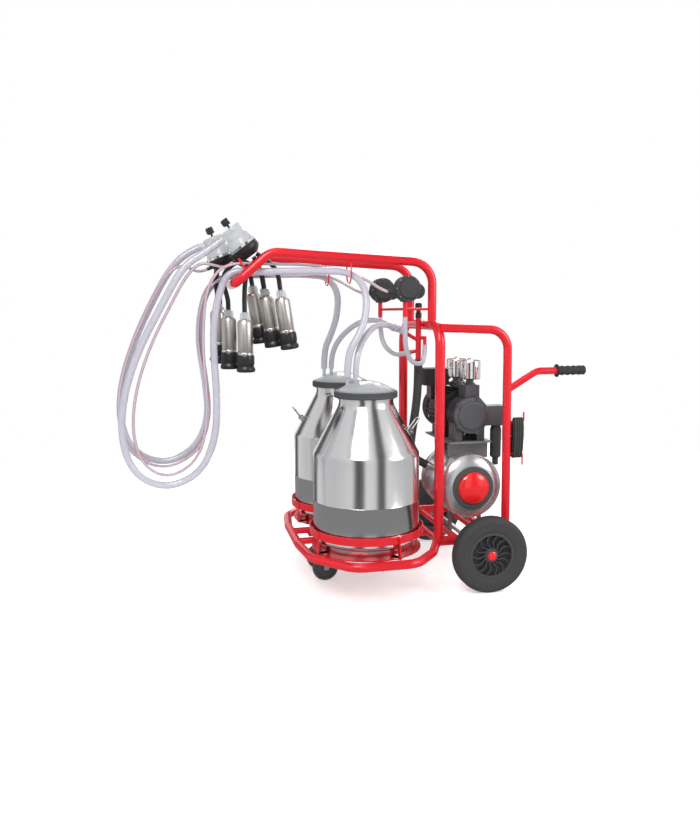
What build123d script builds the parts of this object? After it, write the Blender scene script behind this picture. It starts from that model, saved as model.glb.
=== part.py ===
from build123d import *
import os
from math import pi, radians, sqrt, tan

# Portable twin-bucket milking machine: trolley frame, vacuum pump, tank, two buckets and two clusters.
#
# Millimetres. +Z is up, +X runs from the clusters to the push handle, -Y is the near side.
# The geometry is laid out from the buckets' common centre line and written with its origin on the floor
# under the middle of the machine's bounding box.

# Datum
ORIGIN_X = 136.25           # from the buckets' centre line back to the middle of the machine

# Tube frame
TUBE_WALL = 2.0
ARCH_X = 257.4
ARCH_Y = 216.0
ARCH_TOP = 908.0
ARCH_R = 17.0
ARCH_BEND = 70.0
RAIL_Z = 159.0
RAIL_R = 17.0
RAIL_FRONT_X = 240.0
RAIL_BACK_X = 524.0
CROSS_R = 12.0
HOOP_R = 15.0
POST_X = 502.0
REAR_CROSS_X = 478.0       # clear of the line below the exhaust outlet
RAIL_TOP_FRONT = 900.0
RAIL_TOP_BACK = 890.0
ARM_Y = 126.3
ARM_R = 15.0
ARM_BACK_X = ARCH_X
ARM_BACK_Z = 1120.5
ARM_FRONT_X = -300.0
ARM_FRONT_Z = 1152.0
ARM_END_X = -415.0
ARM_END_Z = 1051.0
ARM_BENDS = [75.0, 70.0, 35.0, 35.0, 70.0, 75.0]
RING_R = 36.5
RING_WIRE_R = 2.5
RING_GAP = 1.0
NEAR_RING = (-37.0, -ARM_Y)
FAR_RING = (-63.0, ARM_Y)

# Platform
BUMPER_R = 15.0
BUMPER_Z = 154.0
BUMPER_BENDS = [60.0, 80.0, 80.0, 85.0]
BUMPER_FRONT_BEND = 85.0
BAR_R = 12.0
BAR_Z = 149.0
BAR_Y = 66.0
DECK_Z = BAR_Z + BAR_R

# Buckets, lids and cradles
BUCKET_Y = 204.4
BUCKET_R = 180.0
BUCKET_WALL = 1.5
FOOT_R = 168.0
FOOT_Z = 165.0
FLOOR_Z = 184.0
BODY_LOW_Z = 198.0
SHOULDER_Z = 487.0
CONE_TOP_R = 96.0
CONE_TOP_Z = 645.0
NECK_R = 92.5
NECK_TOP_Z = 672.0
GASKET_R = 106.7
GASKET_IN_R = 88.0
LID_Z = 693.6
LID_R = 99.0
LID_PLATE = 4.0
DOME_TOP_Z = 728.0
DOME_R = 92.0
DOME_WALL = 4.0
DOME_BANDS = 14
LID_PLUG_R = 86.0
LID_PLUG_IN_R = 80.0
LID_PLUG_Z = 680.0
NIPPLE_X = (-62.0, -34.0)
NIPPLE_R = 7.0
NIPPLE_BORE_R = 5.0
NIPPLE_TOP_Z = 740.0
CRADLE_IN_R = 190.25
CRADLE_OUT_R = 194.25
CRADLE_LOW_Z = 214.0
CRADLE_TOP_Z = 240.0
SEAT_IN_R = 150.0
SEAT_T = 4.0
STRAP_W = 23.0
STRAP_ANGLES = (20.0, 110.0, 200.0, 290.0)
BAIL_X = 152.0
BAIL_Z = 553.0
BAIL_WIRE_R = 3.0
BAIL_HOLE_R = 3.3
BAIL_HALF_W = 20.0
BAIL_PIN_Y = 31.0
BAIL_TIP = (184.0, 595.0)
BAIL_BEND = 9.0
EAR_T = 3.0
EAR_Y = 25.0

# Wheels and casters
AXLE_X = 406.6
WHEEL_R = 131.9
AXLE_R = 10.0
WHEEL_OUT_Y = 345.0
TYRE_W = 58.0
RIM_R = 79.0
RIM_IN_R = 70.0
RIM_W = 46.0
BOSS_R = 26.0
BOSS_IN_Y = 279.0
SPOKES = 14
SPOKE_T = 5.0
SPOKE_W = 26.0
SPOKE_SWEEP = 24.0
HUB_BORE_R = AXLE_R + 0.05
AXLE_HALF = 338.0
CASTER_X = -118.0
CASTER_Y = 66.0
CASTER_R = 46.0
CASTER_TRAIL = 18.0
CASTER_W = 24.0
CASTER_PLATE_Z = 133.0
CASTER_AXLE_R = 4.0

# Vacuum tank
TANK_X = 385.5
TANK_Z = 341.0
TANK_R = 113.7
TANK_WALL = 3.0
TANK_NEAR_Y = -185.0
TANK_FAR_Y = 35.0
TANK_HOLE_R = 62.0
TANK_LIP_Y = -208.0
CAP_SEAL_R = 75.0
CAP_SEAL_T = 6.0
CAP_R = 56.5

# Vane pump and motor on one axis along Y
PUMP_X = 400.0
PUMP_Z = 588.0
PUMP_R = 60.0
PUMP_FRONT_Y = -148.0
PUMP_BACK_Y = -58.0
COVER_R = 64.5
CHAMBER_R = 44.0
CHAMBER_DROP = 5.0
ROTOR_R = 38.0
VANES = 4
VANE_T = 4.0
SHAFT_R = 10.0
MOTOR_R = 78.0
MOTOR_FIN_R = 86.0
MOTOR_FINS = 30
MOTOR_FRONT_Y = -54.0
MOTOR_BACK_Y = 110.0
ARMATURE_R = 50.0
STATOR_R = 51.0
FAN_R = 66.0
FAN_BLADES = 8
FAN_COVER_R = 82.0
FAN_COVER_BACK_Y = 158.0
PLATE_TOP_Z = 494.0
PLATE_T = 6.0
CAN_R = 38.5
CAN_LOW_Z = 712.0
CAN_TOP_Z = 780.0
CANS = ((419.0, -80.0), (405.0, 18.0))
SILENCER_X = 509.0
SILENCER_Y = -112.0
SILENCER_R = 20.0
SILENCER_TOP_Z = 545.0
SILENCER_LOW_Z = 427.0
OUTLET_BORE_R = 8.0
OUTLET_LOW_Z = 400.0
OUTLET_LENGTH = 31.0
SILENCER_WALL = 5.0

# Vacuum line and pulsators
LINE_X = 230.0
LINE_Y = -60.0
LINE_R = 10.0
LINE_LOW_Z = 785.0
LINE_TOP_Z = 932.0
STEM_R = 8.0
ROD_Z = 963.0
ROD_R = 4.5
BUCKET_NIPPLE_END = (186.0, -60.0, 878.0)
NEAR_STEM = (156.0, -140.0)
FAR_STEM = (122.0, 60.0)
STEM_LOW_Z = 936.0
STEM_TOP_Z = 990.0
PULSATOR_R = 44.0
PULSATOR_RISE = 42.0
PULSATOR_DEPTH = 34.0

# Clusters: base point of each claw and the direction of its axis
CLAW_NEAR = ((-358.0, -60.0, 1142.0), (-0.602, 0.0, 0.798))
CLAW_FAR = ((-434.0, 60.0, 1109.0), (-0.378, 0.0, 0.926))
CLAW_BODY_R = 50.0
CLAW_FLANGE_R = 52.5
CLAW_NECK_R = 37.5
CLAW_WALL = 3.0
CLAW_SPLIT = 38.0
CLAW_SHOULDER = 76.0
CLAW_TOP = 114.0
CLAW_OUTLET = 98.0
OUTLET_REACH = 14.0
MILK_LEAD = 50.0
PULSE_LEAD = 32.0
CLAW_PULSE = 20.0
CLAW_PULSE_R = 62.0
OUTLET_R = 10.0
VALVE_TRAVEL = 8.0
CUP_HEAD_R = 32.0
CUP_HEAD_H = 58.0
CUP_SHELL_R = 26.0
CUP_SHELL_H = 118.0
CUP_TOP_R = 17.0
CUP_TOP_H = 26.0
MILK_TUBE_R = 8.0

# Hoses and the mains lead
HOSE_D = 24.0
PULSE_D = 17.0
LID_HOSE_D = 20.0
PULSATOR_HOSE_D = 17.0
TANK_HOSE_D = 30.0
LEAD_D = 8.0


def flat(shapes):
    """All solids of some shapes, as one list."""
    return [solid for shape in shapes for solid in shape.solids()]


def write(node, *shapes):
    """Write one node's solids, moved to the machine's origin."""
    solids = [Pos(-ORIGIN_X, 0, 0) * solid for solid in flat(shapes)]
    shape = solids[0] if len(solids) == 1 else Compound(children=solids)
    export_step(shape, f"parts/{node}.step")


def main_piece(shape, spare=0.03):
    """The solid left after a cope, without its small offcuts; stops if more than a small share would go."""
    solids = sorted(shape.solids(), key=lambda solid: solid.volume)
    offcuts = sum(solid.volume for solid in solids[:-1])
    if offcuts > spare * solids[-1].volume:
        raise ValueError(f"{len(solids)} pieces: {[round(solid.volume, 1) for solid in solids]}")
    return solids[-1]


def rod(radius, start, end):
    """A round bar between two points."""
    axis = Vector(*end) - Vector(*start)
    bar = Cylinder(radius, axis.length, align=(Align.CENTER, Align.CENTER, Align.MIN))
    return Plane(origin=start, z_dir=axis) * bar


def sleeve(outer, inner, start, end):
    """A round pipe between two points."""
    return rod(outer, start, end) - rod(inner, start, end)


def bent_bar(points, bends, radius):
    """A round bar along straight runs joined by bends."""
    path = FilletPolyline(*points, radius=bends)
    return sweep(Plane(origin=path @ 0, z_dir=path % 0) * Circle(radius), path=path)


def bent_tube(points, bends, radius):
    """A steel tube along straight runs joined by bends."""
    return bent_bar(points, bends, radius) - bent_bar(points, bends, radius - TUBE_WALL)


def block(low, high):
    """A box between two opposite corners."""
    size = [b - a for a, b in zip(low, high)]
    return Pos(*[(a + b) / 2 for a, b in zip(low, high)]) * Box(*size)


def lathe(points):
    """A turned solid about Z from an outline of (radius, height)."""
    return revolve(Plane.XZ * make_face(Polyline(*points, close=True)), Axis.Z)


def along_y(x, y, z, shape, outward=-1):
    """Put a shape that was turned about Z on an axis along Y, its height pointing outward."""
    return Plane(origin=(x, y, z), x_dir=(1, 0, 0), z_dir=(0, outward, 0)) * shape


def around(count, shape):
    """Copies of a shape, evenly spaced about Z."""
    return [Rot(0, 0, 360.0 * index / count) * shape for index in range(count)]


def mirrored(points):
    """The same points on the other side of the machine's middle plane."""
    return [(x, -y, z) for x, y, z in points]


def route_radii(points):
    """The largest bend at each corner of a route: 0.45 of the shorter run."""
    radii = []
    for before, corner, after in zip(points, points[1:], points[2:]):
        run_in = Vector(*corner) - Vector(*before)
        run_out = Vector(*after) - Vector(*corner)
        turn = radians(run_in.get_angle(run_out))
        radii.append(0.45 * min(run_in.length, run_out.length) / tan(turn / 2))
    return radii


def cord(name, points, diameter):
    """A free hose or lead along its route, with its length and tightest bend printed."""
    radii = route_radii(points)
    path = FilletPolyline(*points, radius=radii)
    tube = sweep(Plane(origin=path @ 0, z_dir=path % 0) * Circle(diameter / 2), path=path)
    share = tube.volume / (pi * diameter ** 2 / 4 * path.length)
    runs = [(Vector(*b) - Vector(*a)).length for a, b in zip(points, points[1:])]
    print(f"{name}: length {path.length:.0f}, volume share {share:.3f}, runs {min(runs):.0f}-{max(runs):.0f}, "
          f"radii {' '.join(f'{r / diameter:.1f}' for r in radii)} diameters")
    return tube


# ---------------------------------------------------------------- frame

BUMPER_NEAR = [(250, -216, BUMPER_Z), (203, -318, BUMPER_Z), (118, -416, BUMPER_Z), (-88, -416, BUMPER_Z),
               (-203, -278, BUMPER_Z), (-222, -120, BUMPER_Z)]
TOP_RAIL = [(ARCH_X, -ARCH_Y, RAIL_TOP_FRONT), (POST_X, -ARCH_Y, RAIL_TOP_BACK), (POST_X + 5, -ARCH_Y, RAIL_Z)]
ARM = [(ARCH_X, -ARM_Y, ARCH_TOP), (ARM_BACK_X, -ARM_Y, ARM_BACK_Z), (ARM_FRONT_X, -ARM_Y, ARM_FRONT_Z),
       (ARM_END_X, -ARM_Y, ARM_END_Z)]
ARM_LOOP = ARM + list(reversed(mirrored(ARM)))


def rail_envelope(side):
    """The outside of one base rail."""
    return rod(RAIL_R, (RAIL_FRONT_X, side * ARCH_Y, RAIL_Z), (RAIL_BACK_X, side * ARCH_Y, RAIL_Z))


def arch_envelope():
    """The outside of the front arch."""
    points = [(ARCH_X, -ARCH_Y, RAIL_Z), (ARCH_X, -ARCH_Y, ARCH_TOP), (ARCH_X, ARCH_Y, ARCH_TOP),
              (ARCH_X, ARCH_Y, RAIL_Z)]
    return bent_bar(points, ARCH_BEND, ARCH_R), points


def make_frame():
    """Tubes of the trolley, each coped onto the tube it is welded to."""
    rails = [rail_envelope(-1), rail_envelope(1)]
    arch_solid, arch_points = arch_envelope()
    arch = bent_tube(arch_points, ARCH_BEND, ARCH_R) - rails[0] - rails[1]
    write("front_arch", arch)

    rear = bent_tube(TOP_RAIL, 70.0, HOOP_R) - arch_solid - rails[0]
    write("rear_hoop", rear)
    rear_solid = bent_bar(TOP_RAIL, 70.0, HOOP_R)

    bores = [rod(RAIL_R - TUBE_WALL, (RAIL_FRONT_X, s * ARCH_Y, RAIL_Z), (RAIL_BACK_X, s * ARCH_Y, RAIL_Z))
             for s in (-1, 1)]
    base = [rails[0] - bores[0], rails[1] - bores[1]]
    for x in (ARCH_X, 330.0, 441.0, REAR_CROSS_X):
        cross = sleeve(CROSS_R, CROSS_R - TUBE_WALL, (x, -ARCH_Y, RAIL_Z), (x, ARCH_Y, RAIL_Z))
        base.append(cross - rails[0] - rails[1] - arch_solid - rear_solid)

    bumper_points = BUMPER_NEAR + list(reversed(mirrored(BUMPER_NEAR)))
    bends = BUMPER_BENDS + [BUMPER_FRONT_BEND, BUMPER_FRONT_BEND] + list(reversed(BUMPER_BENDS))
    bumper_solid = bent_bar(bumper_points, bends, BUMPER_R)
    bumper = bent_tube(bumper_points, bends, BUMPER_R) - rails[0] - rails[1] - arch_solid
    write("bumper_tube", main_piece(bumper))

    cross_envelope = rod(CROSS_R, (ARCH_X, -ARCH_Y, RAIL_Z), (ARCH_X, ARCH_Y, RAIL_Z))
    for side in (-1, 1):
        y = side * BAR_Y
        bar = sleeve(BAR_R, BAR_R - TUBE_WALL, (-222, y, BAR_Z), (ARCH_X, y, BAR_Z))
        base.append(bar - bumper_solid - cross_envelope)
        bar_solid = rod(BAR_R, (-222, y, BAR_Z), (ARCH_X, y, BAR_Z))
        arm = sleeve(BAR_R, BAR_R - TUBE_WALL, (0, y, BAR_Z), (0, side * 416, BAR_Z))
        base.append(arm - bumper_solid - bar_solid)
        plate = block((CASTER_X - 40, y - 32, CASTER_PLATE_Z), (CASTER_X + 40, y + 32, BAR_Z - BAR_R))
        base.append(plate + rod(7.0, (CASTER_X + CASTER_TRAIL, y, CASTER_PLATE_Z - 14),
                                (CASTER_X + CASTER_TRAIL, y, CASTER_PLATE_Z)))
    base = [main_piece(piece) for piece in base]
    write("base_rails", *base)

    rings = []
    for x, y in (NEAR_RING, FAR_RING):
        run = (ARM_BACK_X - x) / (ARM_BACK_X - ARM_FRONT_X)
        under = ARM_BACK_Z + run * (ARM_FRONT_Z - ARM_BACK_Z) - ARM_R
        centre = under - RING_R + RING_GAP
        rings.append(Plane(origin=(x, y, centre), z_dir=(1, 0, 0)) * Torus(RING_R, RING_WIRE_R))
    arms = bent_tube(ARM_LOOP, ARM_BENDS, ARM_R) - arch_solid
    core = bent_bar(ARM_LOOP, ARM_BENDS, ARM_R - TUBE_WALL)
    spike = rod(4.0, (ARM_END_X + 34, -ARM_Y, ARM_END_Z + 40), (ARM_END_X + 10, -ARM_Y, ARM_END_Z + 78))
    for extra in rings + [spike]:
        arms = arms + (extra - core)
    write("cluster_arm", main_piece(arms))

    grip_x = 687.0
    handle_points = [(POST_X + 2, -ARCH_Y, 683), (612, -ARCH_Y, 746), (793, -ARCH_Y, 746)]
    handle = bent_tube(handle_points, 45.0, 12.5) - rear_solid
    write("handle_tube", main_piece(handle))
    profile = [(12.5, 0), (23, 0), (23, 4), (16, 7)]
    for ring in range(4):
        start = 12 + ring * 22
        profile += [(14.6, start), (17.0, start + 7), (17.0, start + 14), (14.6, start + 20)]
    profile += [(16.5, 103), (13.5, 108), (0, 108), (0, 106), (12.5, 106)]
    grip = Plane(origin=(grip_x, -ARCH_Y, 746), z_dir=(1, 0, 0)) * lathe(profile)
    write("handle_grip", grip)

    winder = []
    for z, tip, x in ((571, 603, 568), (456, 415, 566)):
        prong = bent_bar([(POST_X + 4, -ARCH_Y, z), (x, -ARCH_Y, z), (x, -ARCH_Y, tip)], 4.0, 3.0)
        winder.append(prong - rear_solid)
    write("cable_winder", *winder)
    return rear_solid, bumper_solid


def make_cradles(bumper_solid):
    """Welded flat-bar cradles that hold the buckets on the platform."""
    for name, side in (("near_cradle", -1), ("far_cradle", 1)):
        y = side * BUCKET_Y
        seat = sleeve(186.0, SEAT_IN_R, (0, y, DECK_Z), (0, y, DECK_Z + SEAT_T))
        hoop = sleeve(CRADLE_OUT_R, CRADLE_IN_R, (0, y, CRADLE_LOW_Z), (0, y, CRADLE_TOP_Z))
        cradle = seat + hoop
        for angle in STRAP_ANGLES:
            strap = block((CRADLE_IN_R, -STRAP_W / 2, DECK_Z), (CRADLE_OUT_R, STRAP_W / 2, CRADLE_TOP_Z))
            foot = block((SEAT_IN_R + 10, -STRAP_W / 2, DECK_Z), (CRADLE_OUT_R, STRAP_W / 2, DECK_Z + SEAT_T))
            cradle = cradle + Pos(0, y, 0) * Rot(0, 0, angle) * (strap + foot)
        cradle = cradle - bumper_solid
        write(name, main_piece(cradle))


# ---------------------------------------------------------------- buckets

def bucket_shell(side):
    """A stainless bucket with a foot, straight body, conical shoulder, rolled neck and handle ears."""
    outer = lathe([(0, FOOT_Z), (FOOT_R, FOOT_Z), (FOOT_R, FOOT_Z + 25), (BUCKET_R, BODY_LOW_Z),
                   (BUCKET_R, SHOULDER_Z), (CONE_TOP_R, CONE_TOP_Z), (NECK_R, CONE_TOP_Z + 10),
                   (NECK_R, NECK_TOP_Z), (0, NECK_TOP_Z)])
    wall = BUCKET_WALL
    inner = lathe([(0, FLOOR_Z + 2), (FOOT_R - 4, FLOOR_Z + 2), (FOOT_R - 4, BODY_LOW_Z - 6),
                   (BUCKET_R - wall, BODY_LOW_Z + 5),
                   (BUCKET_R - wall, SHOULDER_Z - 1), (CONE_TOP_R - wall, CONE_TOP_Z - 1),
                   (NECK_R - wall, CONE_TOP_Z + 10), (NECK_R - wall, NECK_TOP_Z), (0, NECK_TOP_Z)])
    recess = lathe([(0, FOOT_Z), (FOOT_R - wall, FOOT_Z), (FOOT_R - wall, FLOOR_Z - 6), (FOOT_R - 12, FLOOR_Z),
                    (0, FLOOR_Z)])
    rim = sleeve(NECK_R + 3, NECK_R, (0, 0, NECK_TOP_Z - 5), (0, 0, NECK_TOP_Z))
    shell = outer - inner - recess + rim
    for ear_y in (-EAR_Y, EAR_Y):
        ear = block((BAIL_X - 24, ear_y - EAR_T / 2, BAIL_Z - 9), (BAIL_X + 8, ear_y + EAR_T / 2, BAIL_Z + 9))
        hole = rod(BAIL_HOLE_R, (BAIL_X, ear_y - EAR_T, BAIL_Z), (BAIL_X, ear_y + EAR_T, BAIL_Z))
        ear = ear - hole - inner
        if side > 0:
            ear = Rot(0, 0, 180) * ear
        shell = shell + ear
    return Pos(0, side * BUCKET_Y, 0) * main_piece(shell)


def bucket_bail(side):
    """A swinging wire handle with its two pins."""
    tip_x, tip_z = BAIL_TIP
    half = [(BAIL_X, -BAIL_PIN_Y, BAIL_Z), (BAIL_X, -BAIL_HALF_W + 4, BAIL_Z), (tip_x, -BAIL_HALF_W + 4, tip_z)]
    points = half + list(reversed(mirrored(half)))
    wire = bent_bar(points, [4.0, BAIL_BEND, BAIL_BEND, 4.0], BAIL_WIRE_R)
    if side > 0:
        wire = Rot(0, 0, 180) * wire
    return Pos(0, side * BUCKET_Y, 0) * wire


def dome_height(radius, rise, top, distance):
    """Height of a spherical cap at a distance from its axis."""
    ball = (radius ** 2 + rise ** 2) / (2 * rise)
    return top - ball + sqrt(ball ** 2 - distance ** 2)


def dome_outline(radius, low, top):
    """Outline points of a spherical cap, from its rim to its top."""
    distances = [radius * (1 - step / DOME_BANDS) for step in range(DOME_BANDS + 1)]
    return [(distance, dome_height(radius, top - low, top, distance)) for distance in distances]


def bucket_lid():
    """A clear domed lid with two hose nipples standing on the dome."""
    plate_top = LID_Z + LID_PLATE
    outside = dome_outline(DOME_R, plate_top, DOME_TOP_Z)
    inside = dome_outline(LID_PLUG_IN_R, LID_Z, DOME_TOP_Z - DOME_WALL)
    body = lathe([(LID_PLUG_IN_R, LID_PLUG_Z), (LID_PLUG_R, LID_PLUG_Z), (LID_PLUG_R, LID_Z), (LID_R, LID_Z),
                  (LID_R, plate_top)] + outside + list(reversed(inside)))
    for x in NIPPLE_X:
        root = dome_height(DOME_R, DOME_TOP_Z - plate_top, DOME_TOP_Z, abs(x)) - DOME_WALL
        body = body + rod(NIPPLE_R, (x, 0, root), (x, 0, NIPPLE_TOP_Z))
    for x in NIPPLE_X:
        body = body - rod(NIPPLE_BORE_R, (x, 0, LID_Z), (x, 0, NIPPLE_TOP_Z))
    return body


def make_buckets():
    """Both buckets with their seals, lids and side handles."""
    seals = []
    for name, side in (("near", -1), ("far", 1)):
        place = Pos(0, side * BUCKET_Y, 0)
        write(f"{name}_bucket", bucket_shell(side))
        write(f"{name}_bucket_handle", bucket_bail(side))
        write(f"{name}_lid", place * bucket_lid())
        seals.append(place * sleeve(GASKET_R, GASKET_IN_R, (0, 0, NECK_TOP_Z), (0, 0, LID_Z)))
    write("lid_gaskets", *seals)


# ---------------------------------------------------------------- running gear

def make_wheels():
    """The through axle and the two large wheels."""
    axle = rod(AXLE_R, (AXLE_X, -AXLE_HALF, WHEEL_R), (AXLE_X, AXLE_HALF, WHEEL_R))
    for side in (-1, 1):
        axle = axle + rod(16.0, (AXLE_X, side * (BOSS_IN_Y - 1), WHEEL_R), (AXLE_X, side * (BOSS_IN_Y - 7), WHEEL_R))
    write("wheel_axle", axle)

    half = TYRE_W / 2
    shoulder = 16.0
    tyre = lathe([(RIM_R, -RIM_W / 2), (RIM_R + 8, -half + 2), (WHEEL_R - shoulder, -half),
                  (WHEEL_R - 4, -half + 9), (WHEEL_R, -half + 18), (WHEEL_R, half - 18),
                  (WHEEL_R - 4, half - 9), (WHEEL_R - shoulder, half), (RIM_R + 8, half - 2), (RIM_R, RIM_W / 2)])
    rim = lathe([(RIM_IN_R, -RIM_W / 2), (RIM_R, -RIM_W / 2), (RIM_R, RIM_W / 2), (RIM_IN_R, RIM_W / 2)])
    spoke = Pos((BOSS_R + RIM_IN_R) / 2, 0, 0) * Rot(0, 0, SPOKE_SWEEP) * Box(56.0, SPOKE_T, SPOKE_W)
    spoke = spoke & (Cylinder(RIM_IN_R + 1, RIM_W) - Cylinder(BOSS_R - 1, RIM_W))
    wheel_mid = WHEEL_OUT_Y - half
    boss_low = BOSS_IN_Y - wheel_mid
    boss = lathe([(HUB_BORE_R, boss_low), (BOSS_R, boss_low), (BOSS_R, half - 4), (16, half + 3), (0, half + 3),
                  (0, half - 4), (HUB_BORE_R, half - 4)])
    hub = rim + boss
    for piece in around(SPOKES, spoke):
        hub = hub + piece
    for name, side in (("near", -1), ("far", 1)):
        y = side * wheel_mid
        write(f"{name}_tyre", along_y(AXLE_X, y, WHEEL_R, tyre, side))
        write(f"{name}_hub", along_y(AXLE_X, y, WHEEL_R, hub, side))


def make_casters():
    """Two small swivel casters under the platform."""
    pivot_x = CASTER_X + CASTER_TRAIL
    for name, side in (("near", -1), ("far", 1)):
        y = side * CASTER_Y
        top = CASTER_PLATE_Z - 1.0
        head = sleeve(24.0, 7.05, (pivot_x, y, top - 18), (pivot_x, y, top))
        crown = block((CASTER_X - 6, y - 19, top - 22), (pivot_x + 20, y + 19, top - 18))
        fork = head + crown
        for cheek in (-1, 1):
            low = y + cheek * 17.0
            cheek_low, cheek_high = sorted((low - 1.5, low + 1.5))
            plate = make_face(Polyline((pivot_x + 18, top - 18), (CASTER_X + 9, CASTER_R - 6),
                                       (CASTER_X - 7, CASTER_R - 6), (CASTER_X - 6, top - 18), close=True))
            side_plate = Plane(origin=(0, cheek_high, 0), x_dir=(1, 0, 0), z_dir=(0, -1, 0)) * extrude(plate, 3.0)
            fork = fork + side_plate
        fork = fork + rod(CASTER_AXLE_R, (CASTER_X, y - 21, CASTER_R), (CASTER_X, y + 21, CASTER_R))
        write(f"{name}_caster_fork", fork)
        half = CASTER_W / 2
        roller = lathe([(CASTER_AXLE_R + 0.05, -half - 2), (10, -half - 2), (12, -half + 3), (34, -half + 3),
                        (36, -half), (CASTER_R - 4, -half), (CASTER_R, -half + 6), (CASTER_R, half - 6),
                        (CASTER_R - 4, half), (36, half), (34, half - 3), (12, half - 3), (10, half + 2),
                        (CASTER_AXLE_R + 0.05, half + 2)])
        write(f"{name}_caster_wheel", along_y(CASTER_X, y, CASTER_R, roller))


# ---------------------------------------------------------------- tank

def make_tank():
    """The vacuum tank with its dished ends, clean-out opening, seal and pull-off cap."""
    depth = TANK_FAR_Y - TANK_NEAR_Y
    lip = TANK_NEAR_Y - TANK_LIP_Y
    outline = [(0, -30), (60, -24), (100, -8), (TANK_R, 8), (TANK_R, depth), (TANK_R - 7, depth + 9),
               (TANK_HOLE_R + 16, depth + lip), (TANK_HOLE_R, depth + lip)]
    inside = [(0, -27), (59, -21), (98, -5), (TANK_R - TANK_WALL, 9), (TANK_R - TANK_WALL, depth),
              (TANK_R - 9, depth + 7), (TANK_HOLE_R + 14, depth + lip - 3), (0, depth + lip - 3)]
    shell = lathe(outline + [(0, depth + lip)]) - lathe(inside)
    shell = shell - rod(TANK_HOLE_R, (0, 0, depth), (0, 0, depth + lip + 1))
    shell = along_y(TANK_X, TANK_FAR_Y, TANK_Z, shell)
    inlet = (TANK_X - 95, LINE_Y, TANK_Z + 45)
    spout = rod(13.0, (262, LINE_Y, 402), (TANK_X - 60, LINE_Y, 372))
    bore = rod(9.0, (262, LINE_Y, 402), inlet)
    tank_core = along_y(TANK_X, TANK_FAR_Y, TANK_Z, lathe(inside))
    shell = shell + (spout - tank_core) - bore
    write("tank_shell", main_piece(shell))

    seal_y = TANK_LIP_Y
    seal = along_y(TANK_X, seal_y, TANK_Z, lathe([(54, 0), (CAP_SEAL_R, 0), (CAP_SEAL_R, 4), (CAP_SEAL_R - 3, 6),
                                                  (54, CAP_SEAL_T)]))
    write("tank_gasket", seal)
    cap = lathe([(0, CAP_SEAL_T), (CAP_R, CAP_SEAL_T), (CAP_R, CAP_SEAL_T + 5), (CAP_R - 9, CAP_SEAL_T + 13),
                 (24, CAP_SEAL_T + 19), (0, CAP_SEAL_T + 20)])
    plug = lathe([(0, -16), (50, -16), (50, CAP_SEAL_T), (0, CAP_SEAL_T)]) - lathe([(0, -16), (46, -16), (46, 2), (0, 2)])
    write("tank_cap", along_y(TANK_X, seal_y, TANK_Z, cap + plug))

    envelope = rod(TANK_R, (TANK_X, TANK_NEAR_Y, TANK_Z), (TANK_X, TANK_FAR_Y, TANK_Z))
    brackets = [block((318, -150, PLATE_TOP_Z - PLATE_T), (478, 118, PLATE_TOP_Z))]
    for y in (-120.0, -4.0):
        web = block((322, y - 2.5, 430), (474, y + 2.5, PLATE_TOP_Z - PLATE_T))
        brackets.append(main_piece(web - envelope))
    for x in (330.0, 441.0):
        for y in (-130.0, 10.0):
            leg = block((x - 3, y - 14, RAIL_Z + CROSS_R), (x + 3, y + 14, 300)) - envelope
            brackets.append(min(leg.solids(), key=lambda s: s.bounding_box().min.Z))
    write("tank_brackets", *brackets)


# ---------------------------------------------------------------- pump and motor

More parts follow.
